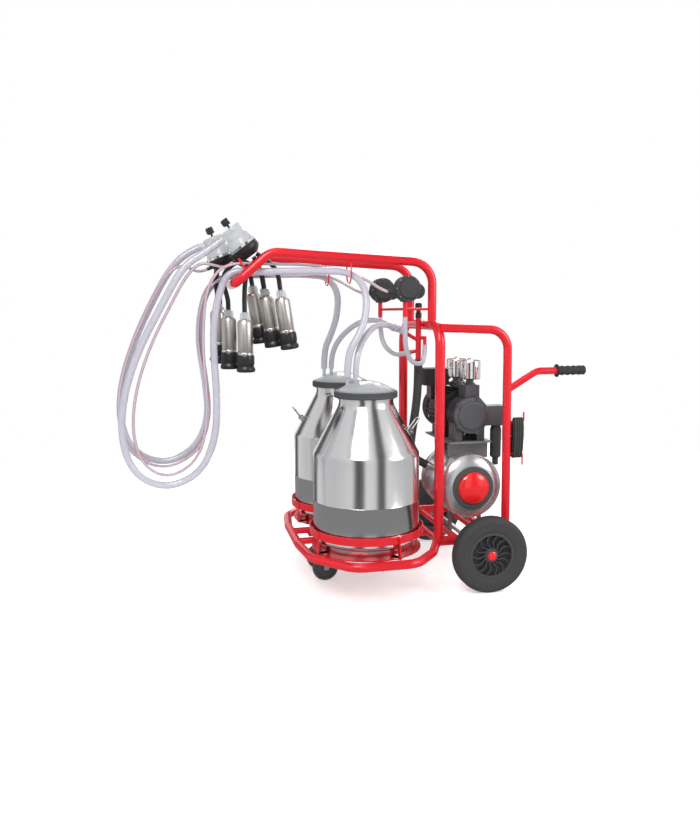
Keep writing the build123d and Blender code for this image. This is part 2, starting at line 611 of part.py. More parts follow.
def make_pump():
    """The oil-less vane pump, its filters, outlet and silencer."""
    back = PUMP_BACK_Y
    depth = back - PUMP_FRONT_Y
    body = rod(PUMP_R, (PUMP_X, PUMP_FRONT_Y, PUMP_Z), (PUMP_X, back, PUMP_Z))
    body = body + rod(PUMP_R + 4.5, (PUMP_X, PUMP_FRONT_Y, PUMP_Z), (PUMP_X, PUMP_FRONT_Y + 9, PUMP_Z))
    for index in range(10):
        y = PUMP_FRONT_Y + 18 + index * 6.8
        body = body + rod(PUMP_R + 4, (PUMP_X, y, PUMP_Z), (PUMP_X, y + 2.6, PUMP_Z))
    body = body + block((382, PUMP_FRONT_Y + 12, PUMP_Z + 40), (434, back - 8, 694))
    body = body + block((384, -112, 679), (430, 40, 694))
    for x, y in CANS:
        body = body + rod(14.0, (x, y, 690), (x, y, CAN_LOW_Z))
        body = body + rod(19.0, (x, y, 692), (x, y, 698))
    body = body + block((PUMP_X + 30, -138, 548), (532, -86, 618))
    body = body + rod(22.0, (SILENCER_X, SILENCER_Y, SILENCER_TOP_Z), (SILENCER_X, SILENCER_Y, 560))
    for x in (PUMP_X - 42, PUMP_X + 42):
        body = body + block((x - 14, PUMP_FRONT_Y + 14, PLATE_TOP_Z), (x + 14, back - 12, PUMP_Z - 30))
    chamber = rod(CHAMBER_R, (PUMP_X, PUMP_FRONT_Y, PUMP_Z - CHAMBER_DROP), (PUMP_X, back - 10, PUMP_Z - CHAMBER_DROP))
    body = body - chamber - rod(SHAFT_R + 0.05, (PUMP_X, back - 12, PUMP_Z), (PUMP_X, back, PUMP_Z))
    body = body - rod(OUTLET_BORE_R, (SILENCER_X, SILENCER_Y, SILENCER_TOP_Z), (SILENCER_X, SILENCER_Y, 590))
    body = body - rod(OUTLET_BORE_R, (PUMP_X, SILENCER_Y, 583), (SILENCER_X + 2, SILENCER_Y, 583))
    write("pump_casing", main_piece(body))

    cover = lathe([(0, 0), (COVER_R, 0), (COVER_R, 6), (52, 8), (50, 12), (44, 13), (0, 13)])
    for piece in around(5, Pos(COVER_R - 3, 0, 4) * Cylinder(9.0, 8.0)):
        cover = cover + piece
    for piece in around(5, Pos(COVER_R - 3, 0, 9.5) * Cylinder(5.0, 4.0)):
        cover = cover + piece
    write("pump_cover", along_y(PUMP_X, PUMP_FRONT_Y, PUMP_Z, cover))

    front = PUMP_FRONT_Y + 1
    rotor = rod(ROTOR_R, (PUMP_X, front, PUMP_Z), (PUMP_X, front + depth - 12, PUMP_Z))
    rotor = rotor - rod(SHAFT_R, (PUMP_X, front, PUMP_Z), (PUMP_X, back, PUMP_Z))
    pieces = []
    for index in range(VANES):
        angle = 45 + index * 360 / VANES
        spin = Pos(PUMP_X, 0, PUMP_Z) * Rot(0, angle, 0)
        slot = spin * block((17, front, -VANE_T / 2), (ROTOR_R + 1, front + depth - 12, VANE_T / 2))
        rotor = rotor - slot
        vane = spin * block((18, front, -VANE_T / 2 + 0.1), (ROTOR_R, front + depth - 12, VANE_T / 2 - 0.1))
        pieces.append(vane & rod(ROTOR_R, (PUMP_X, front, PUMP_Z), (PUMP_X, front + depth - 12, PUMP_Z)))
    write("pump_rotor", rotor, *pieces)

    shaft = rod(SHAFT_R, (PUMP_X, front, PUMP_Z), (PUMP_X, 138, PUMP_Z))
    armature = rod(ARMATURE_R, (PUMP_X, -20, PUMP_Z), (PUMP_X, 80, PUMP_Z))
    write("rotor_shaft", shaft + armature)

    fan = sleeve(18.0, SHAFT_R, (0, 0, 0), (0, 0, 18)) + sleeve(FAN_R, SHAFT_R, (0, 0, 0), (0, 0, 3))
    for blade in around(FAN_BLADES, block((16, -1.2, 2), (FAN_R - 1, 1.2, 18))):
        fan = fan + blade
    write("cooling_fan", along_y(PUMP_X, 120, PUMP_Z, fan, 1))

    cans = []
    for x, y in CANS:
        can = lathe([(0, CAN_LOW_Z), (CAN_R - 3, CAN_LOW_Z), (CAN_R, CAN_LOW_Z + 4), (CAN_R, 743), (CAN_R + 2, 744),
                     (CAN_R + 2, 749), (CAN_R, 750), (CAN_R, CAN_TOP_Z - 5), (CAN_R - 4, CAN_TOP_Z),
                     (8, CAN_TOP_Z), (8, CAN_TOP_Z + 7), (0, CAN_TOP_Z + 7)])
        hollow = lathe([(14, CAN_LOW_Z + 3), (CAN_R - 3, CAN_LOW_Z + 3), (CAN_R - 3, CAN_TOP_Z - 6),
                        (14, CAN_TOP_Z - 6)])
        cans.append(Pos(x, y, 0) * (can - hollow))
    write("filter_cans", *cans)

    low, top = SILENCER_LOW_Z, SILENCER_TOP_Z
    tail_end = OUTLET_LOW_Z + OUTLET_LENGTH
    inner = SILENCER_R - SILENCER_WALL
    silencer = lathe([(OUTLET_BORE_R, OUTLET_LOW_Z), (11, OUTLET_LOW_Z), (11, low), (SILENCER_R - 4, low),
                      (SILENCER_R, low + 6), (SILENCER_R, top - 14), (SILENCER_R - 3, top - 8),
                      (SILENCER_R - 3, top), (OUTLET_BORE_R, top), (OUTLET_BORE_R, top - 10), (inner, top - 15),
                      (inner, tail_end + 5), (OUTLET_BORE_R, tail_end)])
    write("silencer", Pos(SILENCER_X, SILENCER_Y, 0) * silencer)


def make_motor():
    """The fan-cooled electric motor and its terminal box."""
    front, back = MOTOR_FRONT_Y, MOTOR_BACK_Y
    body = rod(MOTOR_R, (PUMP_X, front, PUMP_Z), (PUMP_X, back, PUMP_Z))
    centre = Pos(PUMP_X, 0, PUMP_Z)
    for index in range(MOTOR_FINS):
        fin = block((MOTOR_R - 2, front + 14, -1.4), (MOTOR_FIN_R, back - 14, 1.4))
        body = body + centre * Rot(0, index * 360 / MOTOR_FINS, 0) * fin
    body = body - rod(SHAFT_R + 0.4, (PUMP_X, front, PUMP_Z), (PUMP_X, back, PUMP_Z))
    body = body - rod(STATOR_R, (PUMP_X, -24, PUMP_Z), (PUMP_X, 84, PUMP_Z))
    body = body + rod(30.0, (PUMP_X, PUMP_BACK_Y, PUMP_Z), (PUMP_X, front, PUMP_Z)) - rod(
        SHAFT_R + 0.4, (PUMP_X, PUMP_BACK_Y, PUMP_Z), (PUMP_X, front, PUMP_Z))
    for x in (PUMP_X - 48, PUMP_X + 48):
        for y in (front + 22, back - 40):
            body = body + (block((x - 14, y, PLATE_TOP_Z), (x + 14, y + 26, PUMP_Z - 45))
                           - rod(MOTOR_R - 1, (PUMP_X, front, PUMP_Z), (PUMP_X, back, PUMP_Z)))
    body = body + block((322, 66, PUMP_Z + 40), (366, 118, 678)) - rod(
        STATOR_R, (PUMP_X, -24, PUMP_Z), (PUMP_X, 84, PUMP_Z))
    body = body - rod(FAN_COVER_R, (PUMP_X, back, PUMP_Z), (PUMP_X, FAN_COVER_BACK_Y, PUMP_Z))
    write("motor_housing", main_piece(body))

    thick = 2.0
    cover = rod(FAN_COVER_R, (PUMP_X, back, PUMP_Z), (PUMP_X, FAN_COVER_BACK_Y, PUMP_Z))
    cover = cover - rod(FAN_COVER_R - thick, (PUMP_X, back, PUMP_Z), (PUMP_X, FAN_COVER_BACK_Y - thick, PUMP_Z))
    for radius in (24.0, 38.0, 52.0, 66.0):
        count = int(radius / 3.2)
        for index in range(count):
            angle = index * 360.0 / count
            slot = block((radius, FAN_COVER_BACK_Y - 5, -5), (radius + 8, FAN_COVER_BACK_Y + 5, 5))
            cover = cover - centre * Rot(0, angle, 0) * slot
    write("fan_cover", cover)

    box = block((296, 62, 678), (392, 136, 741)) - block((299, 65, 681), (389, 133, 738))
    gland = sleeve(9.0, 4.2, (392, 104, 706), (410, 104, 706))
    write("terminal_box", box - rod(4.2, (380, 104, 706), (400, 104, 706)) + gland)


# ---------------------------------------------------------------- vacuum line and pulsators

def make_vacuum_line():
    """Painted steel vacuum pipe with its nipples, the pulsator stems and their tie rod."""
    main = rod(LINE_R, (LINE_X, LINE_Y, LINE_LOW_Z), (LINE_X, LINE_Y, LINE_TOP_Z))
    bore = rod(LINE_R - TUBE_WALL, (LINE_X, LINE_Y, LINE_LOW_Z), (LINE_X, LINE_Y, LINE_TOP_Z))
    elbow_z = 862.0
    far_nipple_z = 816.0
    branches = [((LINE_X, LINE_Y, 852), BUCKET_NIPPLE_END), ((LINE_X, LINE_Y, elbow_z), (*LOOP_ELBOW, elbow_z)),
                ((*LOOP_ELBOW, elbow_z + 6), (*LOOP_ELBOW, NEAR_LOOP[-1][2])), ((LINE_X, LINE_Y, far_nipple_z), FAR_LOOP[-1])]
    for start, end in branches:
        main = main + rod(6.5, start, end)
    main = main - bore
    arch_solid, _ = arch_envelope()
    pieces = [main_piece(main - arch_solid)]
    stems = []
    for x, y in (NEAR_STEM, FAR_STEM):
        stem = sleeve(STEM_R, STEM_R - TUBE_WALL, (x, y, STEM_LOW_Z), (x, y, STEM_TOP_Z))
        pieces.append(stem)
        stems.append(rod(STEM_R, (x, y, STEM_LOW_Z), (x, y, STEM_TOP_Z)))
    arm_solid = bent_bar(ARM_LOOP, ARM_BENDS, ARM_R)
    tie = rod(ROD_R, (*FAR_STEM, ROD_Z), (*NEAR_STEM, ROD_Z)) - stems[0] - stems[1]
    link = rod(ROD_R, (*NEAR_STEM, ROD_Z), (ARCH_X - 13, -ARM_Y, ROD_Z)) - stems[0] - arm_solid
    pieces += [main_piece(tie), main_piece(link)]
    write("vacuum_pipes", *pieces)

    regulator = lathe([(0, LINE_TOP_Z), (11, LINE_TOP_Z), (11, LINE_TOP_Z + 18), (8, LINE_TOP_Z + 20),
                       (8, LINE_TOP_Z + 26), (12, LINE_TOP_Z + 28), (12, LINE_TOP_Z + 48), (9, LINE_TOP_Z + 53),
                       (0, LINE_TOP_Z + 53)])
    write("vacuum_regulator", Pos(LINE_X, LINE_Y, 0) * regulator)


def pulsator(x, y):
    """One pulsator body: a drum on a square foot, with a rear chamber and an outlet nozzle."""
    z = STEM_TOP_Z + PULSATOR_RISE
    near_y = y - PULSATOR_DEPTH / 2
    far_y = y + PULSATOR_DEPTH / 2
    body = rod(PULSATOR_R, (x + 6, near_y, z), (x + 6, far_y, z))
    body = body + block((x - 14, y - 13, STEM_TOP_Z - 2), (x + 14, y + 13, z - 20))
    body = body + rod(26.0, (x + 46, far_y - 16, z - 8), (x + 46, far_y + 12, z - 8))
    body = body + rod(8.0, (x - 62, y, z - 10), (x - 20, y, z - 10))
    body = body - rod(4.0, (x - 62, y, z - 10), (x - 30, y, z - 10))
    body = body - rod(STEM_R, (x, y, STEM_TOP_Z - 2), (x, y, STEM_TOP_Z))
    return body


def pulsator_cap(x, y):
    """The screwed front cover of a pulsator."""
    z = STEM_TOP_Z + PULSATOR_RISE
    cap = lathe([(0, 0), (PULSATOR_R, 0), (PULSATOR_R, 5), (34, 8), (31, 14), (0, 15)])
    for screw in around(8, Pos(PULSATOR_R - 5, 0, 6) * Cylinder(2.6, 4.0)):
        cap = cap + screw
    return along_y(x + 6, y - PULSATOR_DEPTH / 2, z, cap)


def make_pulsators():
    """Both pulsators on their stems."""
    write("pulsator_bodies", *[pulsator(x, y) for x, y in (NEAR_STEM, FAR_STEM)])
    write("pulsator_caps", *[pulsator_cap(x, y) for x, y in (NEAR_STEM, FAR_STEM)])


# ---------------------------------------------------------------- clusters

# Each cup: bottom of the mouthpiece, lean of its axis along X, then the milk tube's corners up to the claw
CUPS = {
    "near": [
        ((-232, -65, 830), -0.150, [(-267, -65, 1075), (-286, -65, 1118)], (-340, -68, 1150)),
        ((-281, -18, 836), -0.150, [(-316, -18, 1072), (-326, -26, 1106)], (-347, -40, 1140)),
        ((-384, -65, 754), 0.0, [(-384, -65, 1000), (-380, -65, 1066)], (-366, -68, 1118)),
        ((-435, -18, 763), 0.0, [(-435, -18, 1000), (-452, -18, 1062), (-438, -24, 1104)], (-396, -38, 1128)),
    ],
    "far": [
        ((-316, 40, 848), -0.150, [(-351, 40, 1080), (-364, 43, 1116)], (-396, 46, 1128)),
        ((-270, 94, 842), -0.150, [(-307, 94, 1088), (-330, 92, 1124)], (-392, 82, 1142)),
        ((-468, 39, 787), 0.0, [(-468, 39, 1025), (-474, 41, 1068)], (-466, 44, 1110)),
        ((-455, 104, 775), 0.0, [(-455, 104, 1012), (-466, 101, 1066)], (-462, 86, 1108)),
    ],
}


def cup_axis(lean):
    """Unit vector up a teat cup's axis."""
    return Vector(lean, 0, 1).normalized()


def point_on(start, axis, distance):
    """A point a distance along an axis."""
    return tuple(Vector(*start) + axis * distance)


def teat_cup(bottom, lean, corners, end):
    """A shell, a liner with its short milk tube, and the clear sight tube between them."""
    axis = cup_axis(lean)
    place = Plane(origin=bottom, z_dir=axis)
    shell_top = CUP_HEAD_H + CUP_SHELL_H
    shell = place * lathe([(CUP_SHELL_R - 4, CUP_HEAD_H), (CUP_SHELL_R, CUP_HEAD_H), (CUP_SHELL_R, shell_top - 8),
                           (CUP_SHELL_R - 6, shell_top), (CUP_SHELL_R - 10, shell_top),
                           (CUP_SHELL_R - 5, shell_top - 9), (CUP_SHELL_R - 4, shell_top - 9)])
    head = lathe([(12, 0), (27, 0), (31, 6), (30, 22), (CUP_HEAD_R, 26), (CUP_HEAD_R, 52), (29, CUP_HEAD_H),
                  (14, CUP_HEAD_H), (14, shell_top - 12), (12, shell_top - 8), (12, shell_top), (11, shell_top),
                  (11, CUP_HEAD_H - 4), (20, 40), (20, 8), (12, 6)])
    sight = lathe([(7, shell_top), (CUP_TOP_R - 3, shell_top), (CUP_TOP_R, shell_top + 4),
                   (CUP_TOP_R - 2, shell_top + CUP_TOP_H - 4), (10, shell_top + CUP_TOP_H),
                   (7, shell_top + CUP_TOP_H)])
    start = point_on(bottom, axis, shell_top + CUP_TOP_H)
    points = [start] + corners + [end]
    tube = bent_bar(points, route_radii(points), MILK_TUBE_R)
    return shell, place * head, place * sight, tube


def claw_plane(claw):
    """Local frame of a claw: Z along its axis, X along the machine's Y."""
    return Plane(origin=claw[0], x_dir=(0, 1, 0), z_dir=claw[1])


def make_claw(claw):
    """A claw's rubber body, clear bowl and shut-off valve."""
    place = claw_plane(claw)
    split = CLAW_SPLIT
    body = lathe([(0, 0), (28, 0), (43, 13), (CLAW_BODY_R, 27), (CLAW_BODY_R, split), (0, split)])
    body = body + rod(6.0, (0, 40, CLAW_PULSE), (0, CLAW_PULSE_R, CLAW_PULSE))
    body = body - lathe([(0, 6), (25, 6), (39, 17), (CLAW_BODY_R - 4, 29), (CLAW_BODY_R - 4, split), (0, split)])
    wall = CLAW_WALL
    shoulder, top = CLAW_SHOULDER, CLAW_TOP
    bowl = lathe([(0, split), (CLAW_FLANGE_R, split), (CLAW_FLANGE_R, split + 10), (47, split + 12),
                  (44, shoulder - 8), (CLAW_NECK_R, shoulder), (CLAW_NECK_R, top - 5), (CLAW_NECK_R - 5, top),
                  (0, top)])
    hollow = lathe([(0, split), (CLAW_BODY_R - 4, split), (44, split + 12), (41, shoulder - 9),
                    (CLAW_NECK_R - wall, shoulder - 1), (CLAW_NECK_R - wall, top - 6), (CLAW_NECK_R - 7, top - 3),
                    (0, top - 3)])
    outlet = rod(OUTLET_R, (0, CLAW_NECK_R - 6, CLAW_OUTLET), (0, CLAW_NECK_R + OUTLET_REACH, CLAW_OUTLET))
    bore = rod(OUTLET_R - 3, (0, 20, CLAW_OUTLET), (0, CLAW_NECK_R + OUTLET_REACH, CLAW_OUTLET))
    bowl = bowl + outlet - hollow - bore - rod(4.3, (0, 0, top - 4), (0, 0, top))
    valve = rod(4.0, (0, 0, 96), (0, 0, 126)) + rod(15.0, (0, 0, 94), (0, 0, 99))
    valve = valve + lathe([(0, 124), (10, 124), (14, 128), (14, 143), (11, 147), (0, 147)])
    return place * body, place * bowl, place * valve


def make_clusters():
    """Both milking clusters, hung over the end of the arm."""
    bodies, bowls, shells, liners, sights = [], [], [], [], []
    for name, claw in (("near", CLAW_NEAR), ("far", CLAW_FAR)):
        body, bowl, valve = make_claw(claw)
        bowls.append(bowl)
        write(f"{name}_claw_valve", valve)
        envelope = claw_plane(claw) * lathe([(0, 0), (28, 0), (43, 13), (CLAW_BODY_R, 27),
                                             (CLAW_BODY_R, CLAW_SPLIT), (0, CLAW_SPLIT)])
        for bottom, lean, corners, end in CUPS[name]:
            shell, head, sight, tube = teat_cup(bottom, lean, corners, end)
            shells.append(shell)
            sights.append(sight)
            liners += [head, main_piece(tube - envelope)]
        bodies.append(body)
    write("claw_bodies", *bodies)
    write("claw_bowls", *bowls)
    write("teat_shells", *shells)
    write("teat_liners", *liners)
    write("sight_tubes", *sights)


# ---------------------------------------------------------------- hoses and lead

def claw_point(claw, across, along):
    """A point beside a claw, measured across and along its axis."""
    return tuple(claw_plane(claw).from_local_coords(Vector(0, across, along)))


def claw_exit(claw, across, along, lead):
    """Where a hose meets a claw's nipple, and the next point straight out from it."""
    return [claw_point(claw, across, along), claw_point(claw, across + lead, along)]


# Hose routes from the claws on: round the low loop, up over the arm's end, through the ring and down.
NEAR_MILK = [(-582, -66, 1108), (-652, -70, 985), (-727, -74, 850), (-783, -76, 705),
             (-803, -77, 560), (-770, -76, 425), (-665, -75, 366), (-548, -75, 412), (-492, -75, 530),
             (-484, -75, 680), (-492, -78, 820), (-488, -82, 930), (-466, -86, 1030), (-432, -91, 1092),
             (-350, -98, 1088), (-250, -112, 1090), (-140, -128, 1092), (-30, -137, 1088), (14, -152, 1036),
             (12, -176, 955), (-18, -202, 880), (-62, -204.4, 820), (NIPPLE_X[0], -BUCKET_Y, NIPPLE_TOP_Z)]
FAR_MILK = [(-625, 64, 1105), (-685, 66, 1000), (-750, 68, 868), (-800, 68, 725),
            (-815, 68, 595), (-780, 68, 478), (-672, 68, 424), (-562, 68, 470), (-508, 68, 580),
            (-516, 68, 715), (-536, 68, 850), (-526, 67, 960), (-496, 67, 1048), (-425, 66, 1086),
            (-330, 67, 1085), (-225, 92, 1092), (-128, 120, 1090), (-62, 132, 1084), (-16, 148, 1030),
            (-14, 182, 940), (-34, 204, 870), (-62, 204.4, 812), (NIPPLE_X[0], BUCKET_Y, NIPPLE_TOP_Z)]
NEAR_PULSE = [(-482, -57, 1112), (-526, -54, 1120), (-570, -54, 1080), (-620, -60, 992),
              (-692, -69, 858), (-745, -72, 715), (-766, -73, 575), (-742, -73, 458), (-664, -72, 402),
              (-572, -72, 440), (-525, -71, 535), (-517, -70, 680), (-526, -70, 826), (-521, -76, 945),
              (-504, -84, 1050), (-445, -92, 1118), (-310, -97, 1114), (-170, -105, 1114), (-40, -113, 1094),
              (34, -122, 1058), (70, -137, 1030), (94, -140, 1022)]
FAR_PULSE = [(-562, 46, 1112), (-606, 34, 1112), (-648, 32, 1066), (-696, 36, 986),
             (-756, 42, 862), (-804, 42, 725), (-818, 42, 596), (-784, 42, 470), (-674, 42, 408),
             (-556, 42, 458), (-504, 42, 572), (-516, 42, 715), (-540, 36, 850), (-532, 22, 960),
             (-500, 12, 1044), (-424, 12, 1089), (-330, 16, 1082), (-215, 68, 1080), (-80, 111, 1094),
             (-10, 98, 1062), (34, 66, 1030), (60, 60, 1022)]
NEAR_LID = [(NIPPLE_X[1], -BUCKET_Y, NIPPLE_TOP_Z), (NIPPLE_X[1], -BUCKET_Y, 785), (-12, -178, 846), (38, -142, 904),
            (96, -104, 914), (134, -84, 900)]
FAR_LID = [(NIPPLE_X[1], BUCKET_Y, NIPPLE_TOP_Z), (NIPPLE_X[1], BUCKET_Y, 792), (-8, 170, 860), (50, 112, 918),
           (100, 40, 928), (126, -18, 912), (136, -48, 899)]
JOINER_END = (158.4, -60, 894.3)
LOOP_ELBOW = (246, -84)
NEAR_LOOP = [(*NEAR_STEM, STEM_LOW_Z), (156, -140, 888), (158, -138, 832), (180, -126, 784), (222, -104, 768),
             (*LOOP_ELBOW, 790), (*LOOP_ELBOW, 838)]
FAR_LOOP = [(*FAR_STEM, STEM_LOW_Z), (122, 60, 888), (130, 44, 832), (160, 8, 800), (190, -28, 803),
            (208, -46, 812)]
TANK_HOSE = [(LINE_X, LINE_Y, LINE_LOW_Z), (LINE_X, LINE_Y, 700), (222, LINE_Y, 610), (206, LINE_Y, 515),
             (198.7, LINE_Y, 431.9), (262, LINE_Y, 402)]
LEAD = [(410, 104, 706), (440, 104, 706), (480, 92, 672), (520, 58, 616), (546, -2, 570), (556, -72, 552),
        (542, -140, 556), (542, -198, 556)]


def make_hoses():
    """The flexible hoses between clusters, lids, pulsators and the vacuum line."""
    outlet = CLAW_NECK_R + OUTLET_REACH
    near_milk = claw_exit(CLAW_NEAR, outlet, CLAW_OUTLET, MILK_LEAD) + NEAR_MILK
    far_milk = claw_exit(CLAW_FAR, outlet, CLAW_OUTLET, MILK_LEAD) + FAR_MILK
    near_pulse = claw_exit(CLAW_NEAR, CLAW_PULSE_R, CLAW_PULSE, PULSE_LEAD) + NEAR_PULSE
    far_pulse = claw_exit(CLAW_FAR, CLAW_PULSE_R, CLAW_PULSE, PULSE_LEAD) + FAR_PULSE
    write("milk_hoses", cord("near milk", near_milk, HOSE_D), cord("far milk", far_milk, HOSE_D))
    write("pulse_tubes", cord("near pulse", near_pulse, PULSE_D), cord("far pulse", far_pulse, PULSE_D))
    lid_hoses = [cord("near lid", NEAR_LID, LID_HOSE_D), cord("far lid", FAR_LID, LID_HOSE_D)]
    write("lid_hoses", *lid_hoses)
    write("pulsator_hoses", cord("near loop", NEAR_LOOP, PULSATOR_HOSE_D), cord("far loop", FAR_LOOP, PULSATOR_HOSE_D))
    write("tank_hose", cord("tank hose", TANK_HOSE, TANK_HOSE_D))
    joiner = rod(12.0, JOINER_END, BUCKET_NIPPLE_END)
    for route in (NEAR_LID, FAR_LID):
        joiner = joiner + rod(12.0, route[-1], JOINER_END)
    write("hose_joiner", joiner - lid_hoses[0] - lid_hoses[1])


def make_lead():
    """The mains lead, its winding on the rear post and the plug."""
    write("mains_lead", cord("lead", LEAD, LEAD_D))
    low, high, half = 444.0, 583.0, 18.0
    outer = block((522, -ARCH_Y - half, low), (560, -ARCH_Y + half, high))
    outer = fillet(outer.edges().filter_by(Axis.X), half - 1)
    inner = block((522, -ARCH_Y - 5, low + 8), (560, -ARCH_Y + 5, high - 8))
    write("lead_winding", outer - fillet(inner.edges().filter_by(Axis.X), 4.5))
    plug_y = -ARCH_Y + half + 18
    plug = lathe([(0, 0), (17, 0), (18, 6), (16, 30), (9, 40), (0, 40)])
    for x in (-9.5, 9.5):
        plug = plug + rod(2.4, (x, 0, -19), (x, 0, 1))
    write("mains_plug", Pos(541, plug_y, 470) * plug)


def main():
    """Build every node."""
    os.makedirs("parts", exist_ok=True)
    rear_solid, bumper_solid = make_frame()
    make_cradles(bumper_solid)
    make_buckets()
    make_wheels()
    make_casters()
    make_tank()
    make_pump()
    make_motor()
    make_vacuum_line()
    make_pulsators()
    make_clusters()
    make_hoses()
    make_lead()


main()
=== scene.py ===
import logging
import math
from dataclasses import dataclass, field
from enum import Enum

import bmesh
import bpy
from mathutils import Euler, Matrix, Vector


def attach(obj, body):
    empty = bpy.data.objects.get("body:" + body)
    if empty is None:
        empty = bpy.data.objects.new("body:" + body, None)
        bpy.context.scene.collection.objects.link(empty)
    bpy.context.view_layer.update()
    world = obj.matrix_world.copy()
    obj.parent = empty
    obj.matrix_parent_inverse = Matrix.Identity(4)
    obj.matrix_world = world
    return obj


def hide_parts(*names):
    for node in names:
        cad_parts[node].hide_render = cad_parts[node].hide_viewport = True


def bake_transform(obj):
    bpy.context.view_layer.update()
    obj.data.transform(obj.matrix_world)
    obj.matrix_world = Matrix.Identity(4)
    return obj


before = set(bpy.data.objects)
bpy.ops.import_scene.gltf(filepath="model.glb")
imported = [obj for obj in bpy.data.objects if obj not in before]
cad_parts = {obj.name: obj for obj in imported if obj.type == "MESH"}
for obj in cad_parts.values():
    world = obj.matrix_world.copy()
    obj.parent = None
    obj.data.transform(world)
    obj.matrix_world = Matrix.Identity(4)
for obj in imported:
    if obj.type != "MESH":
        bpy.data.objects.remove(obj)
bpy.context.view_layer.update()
LOG = logging.getLogger("milking_machine")
ORIGIN_X = 136.25       # the part's own offset from the buckets' centre line, in millimetres
BUCKET_Y = 204.4
ARCH_X = 257.4
ARCH_Y = 216.0
ARM_Y = 126.3

Point = tuple[float, float, float]
Profile = list[tuple[float, float]]


def place(x: float, y: float, z: float) -> Vector:
    """A point of the layout, given in millimetres from the buckets' centre line, in the frame's metres."""
    return Vector(((x - ORIGIN_X) / 1000, y / 1000, z / 1000))


# ---------------------------------------------------------------- shader maths

class Socket:
    """A shader socket with arithmetic, so that a material reads as a formula."""

    def __init__(self, tree: bpy.types.NodeTree, socket: bpy.types.NodeSocket) -> None:
        """Wraps one output socket of a tree."""
        self.tree = tree
        self.socket = socket

    def _math(self, operation: str, other: "Socket | float") -> "Socket":
        """Joins this value and another with a Math node.

        Args:
            operation: the node's operation.
            other: a socket or a number.

        Returns:
            The result's socket.
        """
        node = self.tree.nodes.new("ShaderNodeMath")
        node.operation = operation
        self.tree.links.new(self.socket, node.inputs[0])
        if isinstance(other, Socket):
            self.tree.links.new(other.socket, node.inputs[1])
        else:
            node.inputs[1].default_value = other
        return Socket(self.tree, node.outputs[0])

    def __add__(self, other: "Socket | float") -> "Socket":
        """Sum of two values."""
        return self._math("ADD", other)

    def __mul__(self, other: "Socket | float") -> "Socket":
        """Product of two values."""
        return self._math("MULTIPLY", other)


class Shader:
    """A Principled material under construction."""

    def __init__(self, name: str) -> None:
        """Starts a material with one Principled shader."""
        self.material = bpy.data.materials.new(name)
        self.material.use_nodes = True
        self.tree = self.material.node_tree
        self.principled = self.tree.nodes["Principled BSDF"]

    def node(self, kind: str, links: dict[str, Socket] | None = None, **values: object) -> bpy.types.Node:
        """Adds a node.

        Args:
            kind: the node's type.
            links: sockets to connect, by input name.
            values: input values by name, with spaces written as underscores.

        Returns:
            The new node.
        """
        made = self.tree.nodes.new(kind)
        for key, value in values.items():
            made.inputs[key.replace("_", " ")].default_value = value
        for key, socket in (links or {}).items():
            self.tree.links.new(socket.socket, made.inputs[key])
        return made

    def noise(self, stretch: Point, scale: float) -> Socket:
        """Noise in object coordinates, stretched along each axis."""
        coordinates = self.tree.nodes.new("ShaderNodeTexCoord")
        mapping = self.tree.nodes.new("ShaderNodeMapping")
        mapping.inputs["Scale"].default_value = stretch
        self.tree.links.new(coordinates.outputs["Object"], mapping.inputs["Vector"])
        made = self.node("ShaderNodeTexNoise", {"Vector": Socket(self.tree, mapping.outputs[0])},
                         Scale=scale, Detail=4.0)
        return Socket(self.tree, made.outputs["Fac"])

    def feed(self, name: str, socket: Socket) -> None:
        """Connects a varying value to the Principled shader."""
        self.tree.links.new(socket.socket, self.principled.inputs[name])


@dataclass(frozen=True)
class Finish:
    """A procedural finish: one Principled shader with gentle wear."""
    name: str
    slot: str
    color: Point
    roughness: float
    metallic: float = 0.0
    coat: float = 0.0
    alpha: float = 1.0
    transmission: float = 0.0
    vary: float = 0.06          # share by which the colour changes over the surface
    wear: float = 0.06          # change of roughness over the surface
    bump: float = 0.0
    scale: float = 30.0
    stretch: Point = (1.0, 1.0, 1.0)

    def build(self) -> bpy.types.Material:
        """Makes the material, once.

        Returns:
            The Blender material.
        """
        known = bpy.data.materials.get(self.name)
        if known:
            return known
        shader = Shader(self.name)
        inputs = shader.principled.inputs
        inputs["Metallic"].default_value = self.metallic
        inputs["Coat Weight"].default_value = self.coat
        inputs["Coat Roughness"].default_value = 0.06
        inputs["Alpha"].default_value = self.alpha
        inputs["Transmission Weight"].default_value = self.transmission
        inputs["IOR"].default_value = 1.45
        pattern = shader.noise(self.stretch, self.scale)
        mix = shader.tree.nodes.new("ShaderNodeMix")
        mix.data_type = "RGBA"
        mix.inputs[6].default_value = (*[c * (1 - self.vary) for c in self.color], 1)
        mix.inputs[7].default_value = (*[min(1.0, c * (1 + self.vary)) for c in self.color], 1)
        shader.tree.links.new(pattern.socket, mix.inputs[0])
        shader.tree.links.new(mix.outputs[2], inputs["Base Color"])
        shader.feed("Roughness", pattern * self.wear + (self.roughness - self.wear / 2))
        if self.bump:
            bump = shader.node("ShaderNodeBump", {"Height": pattern}, Strength=self.bump, Distance=0.0006)
            shader.tree.links.new(bump.outputs[0], inputs["Normal"])
        return shader.material


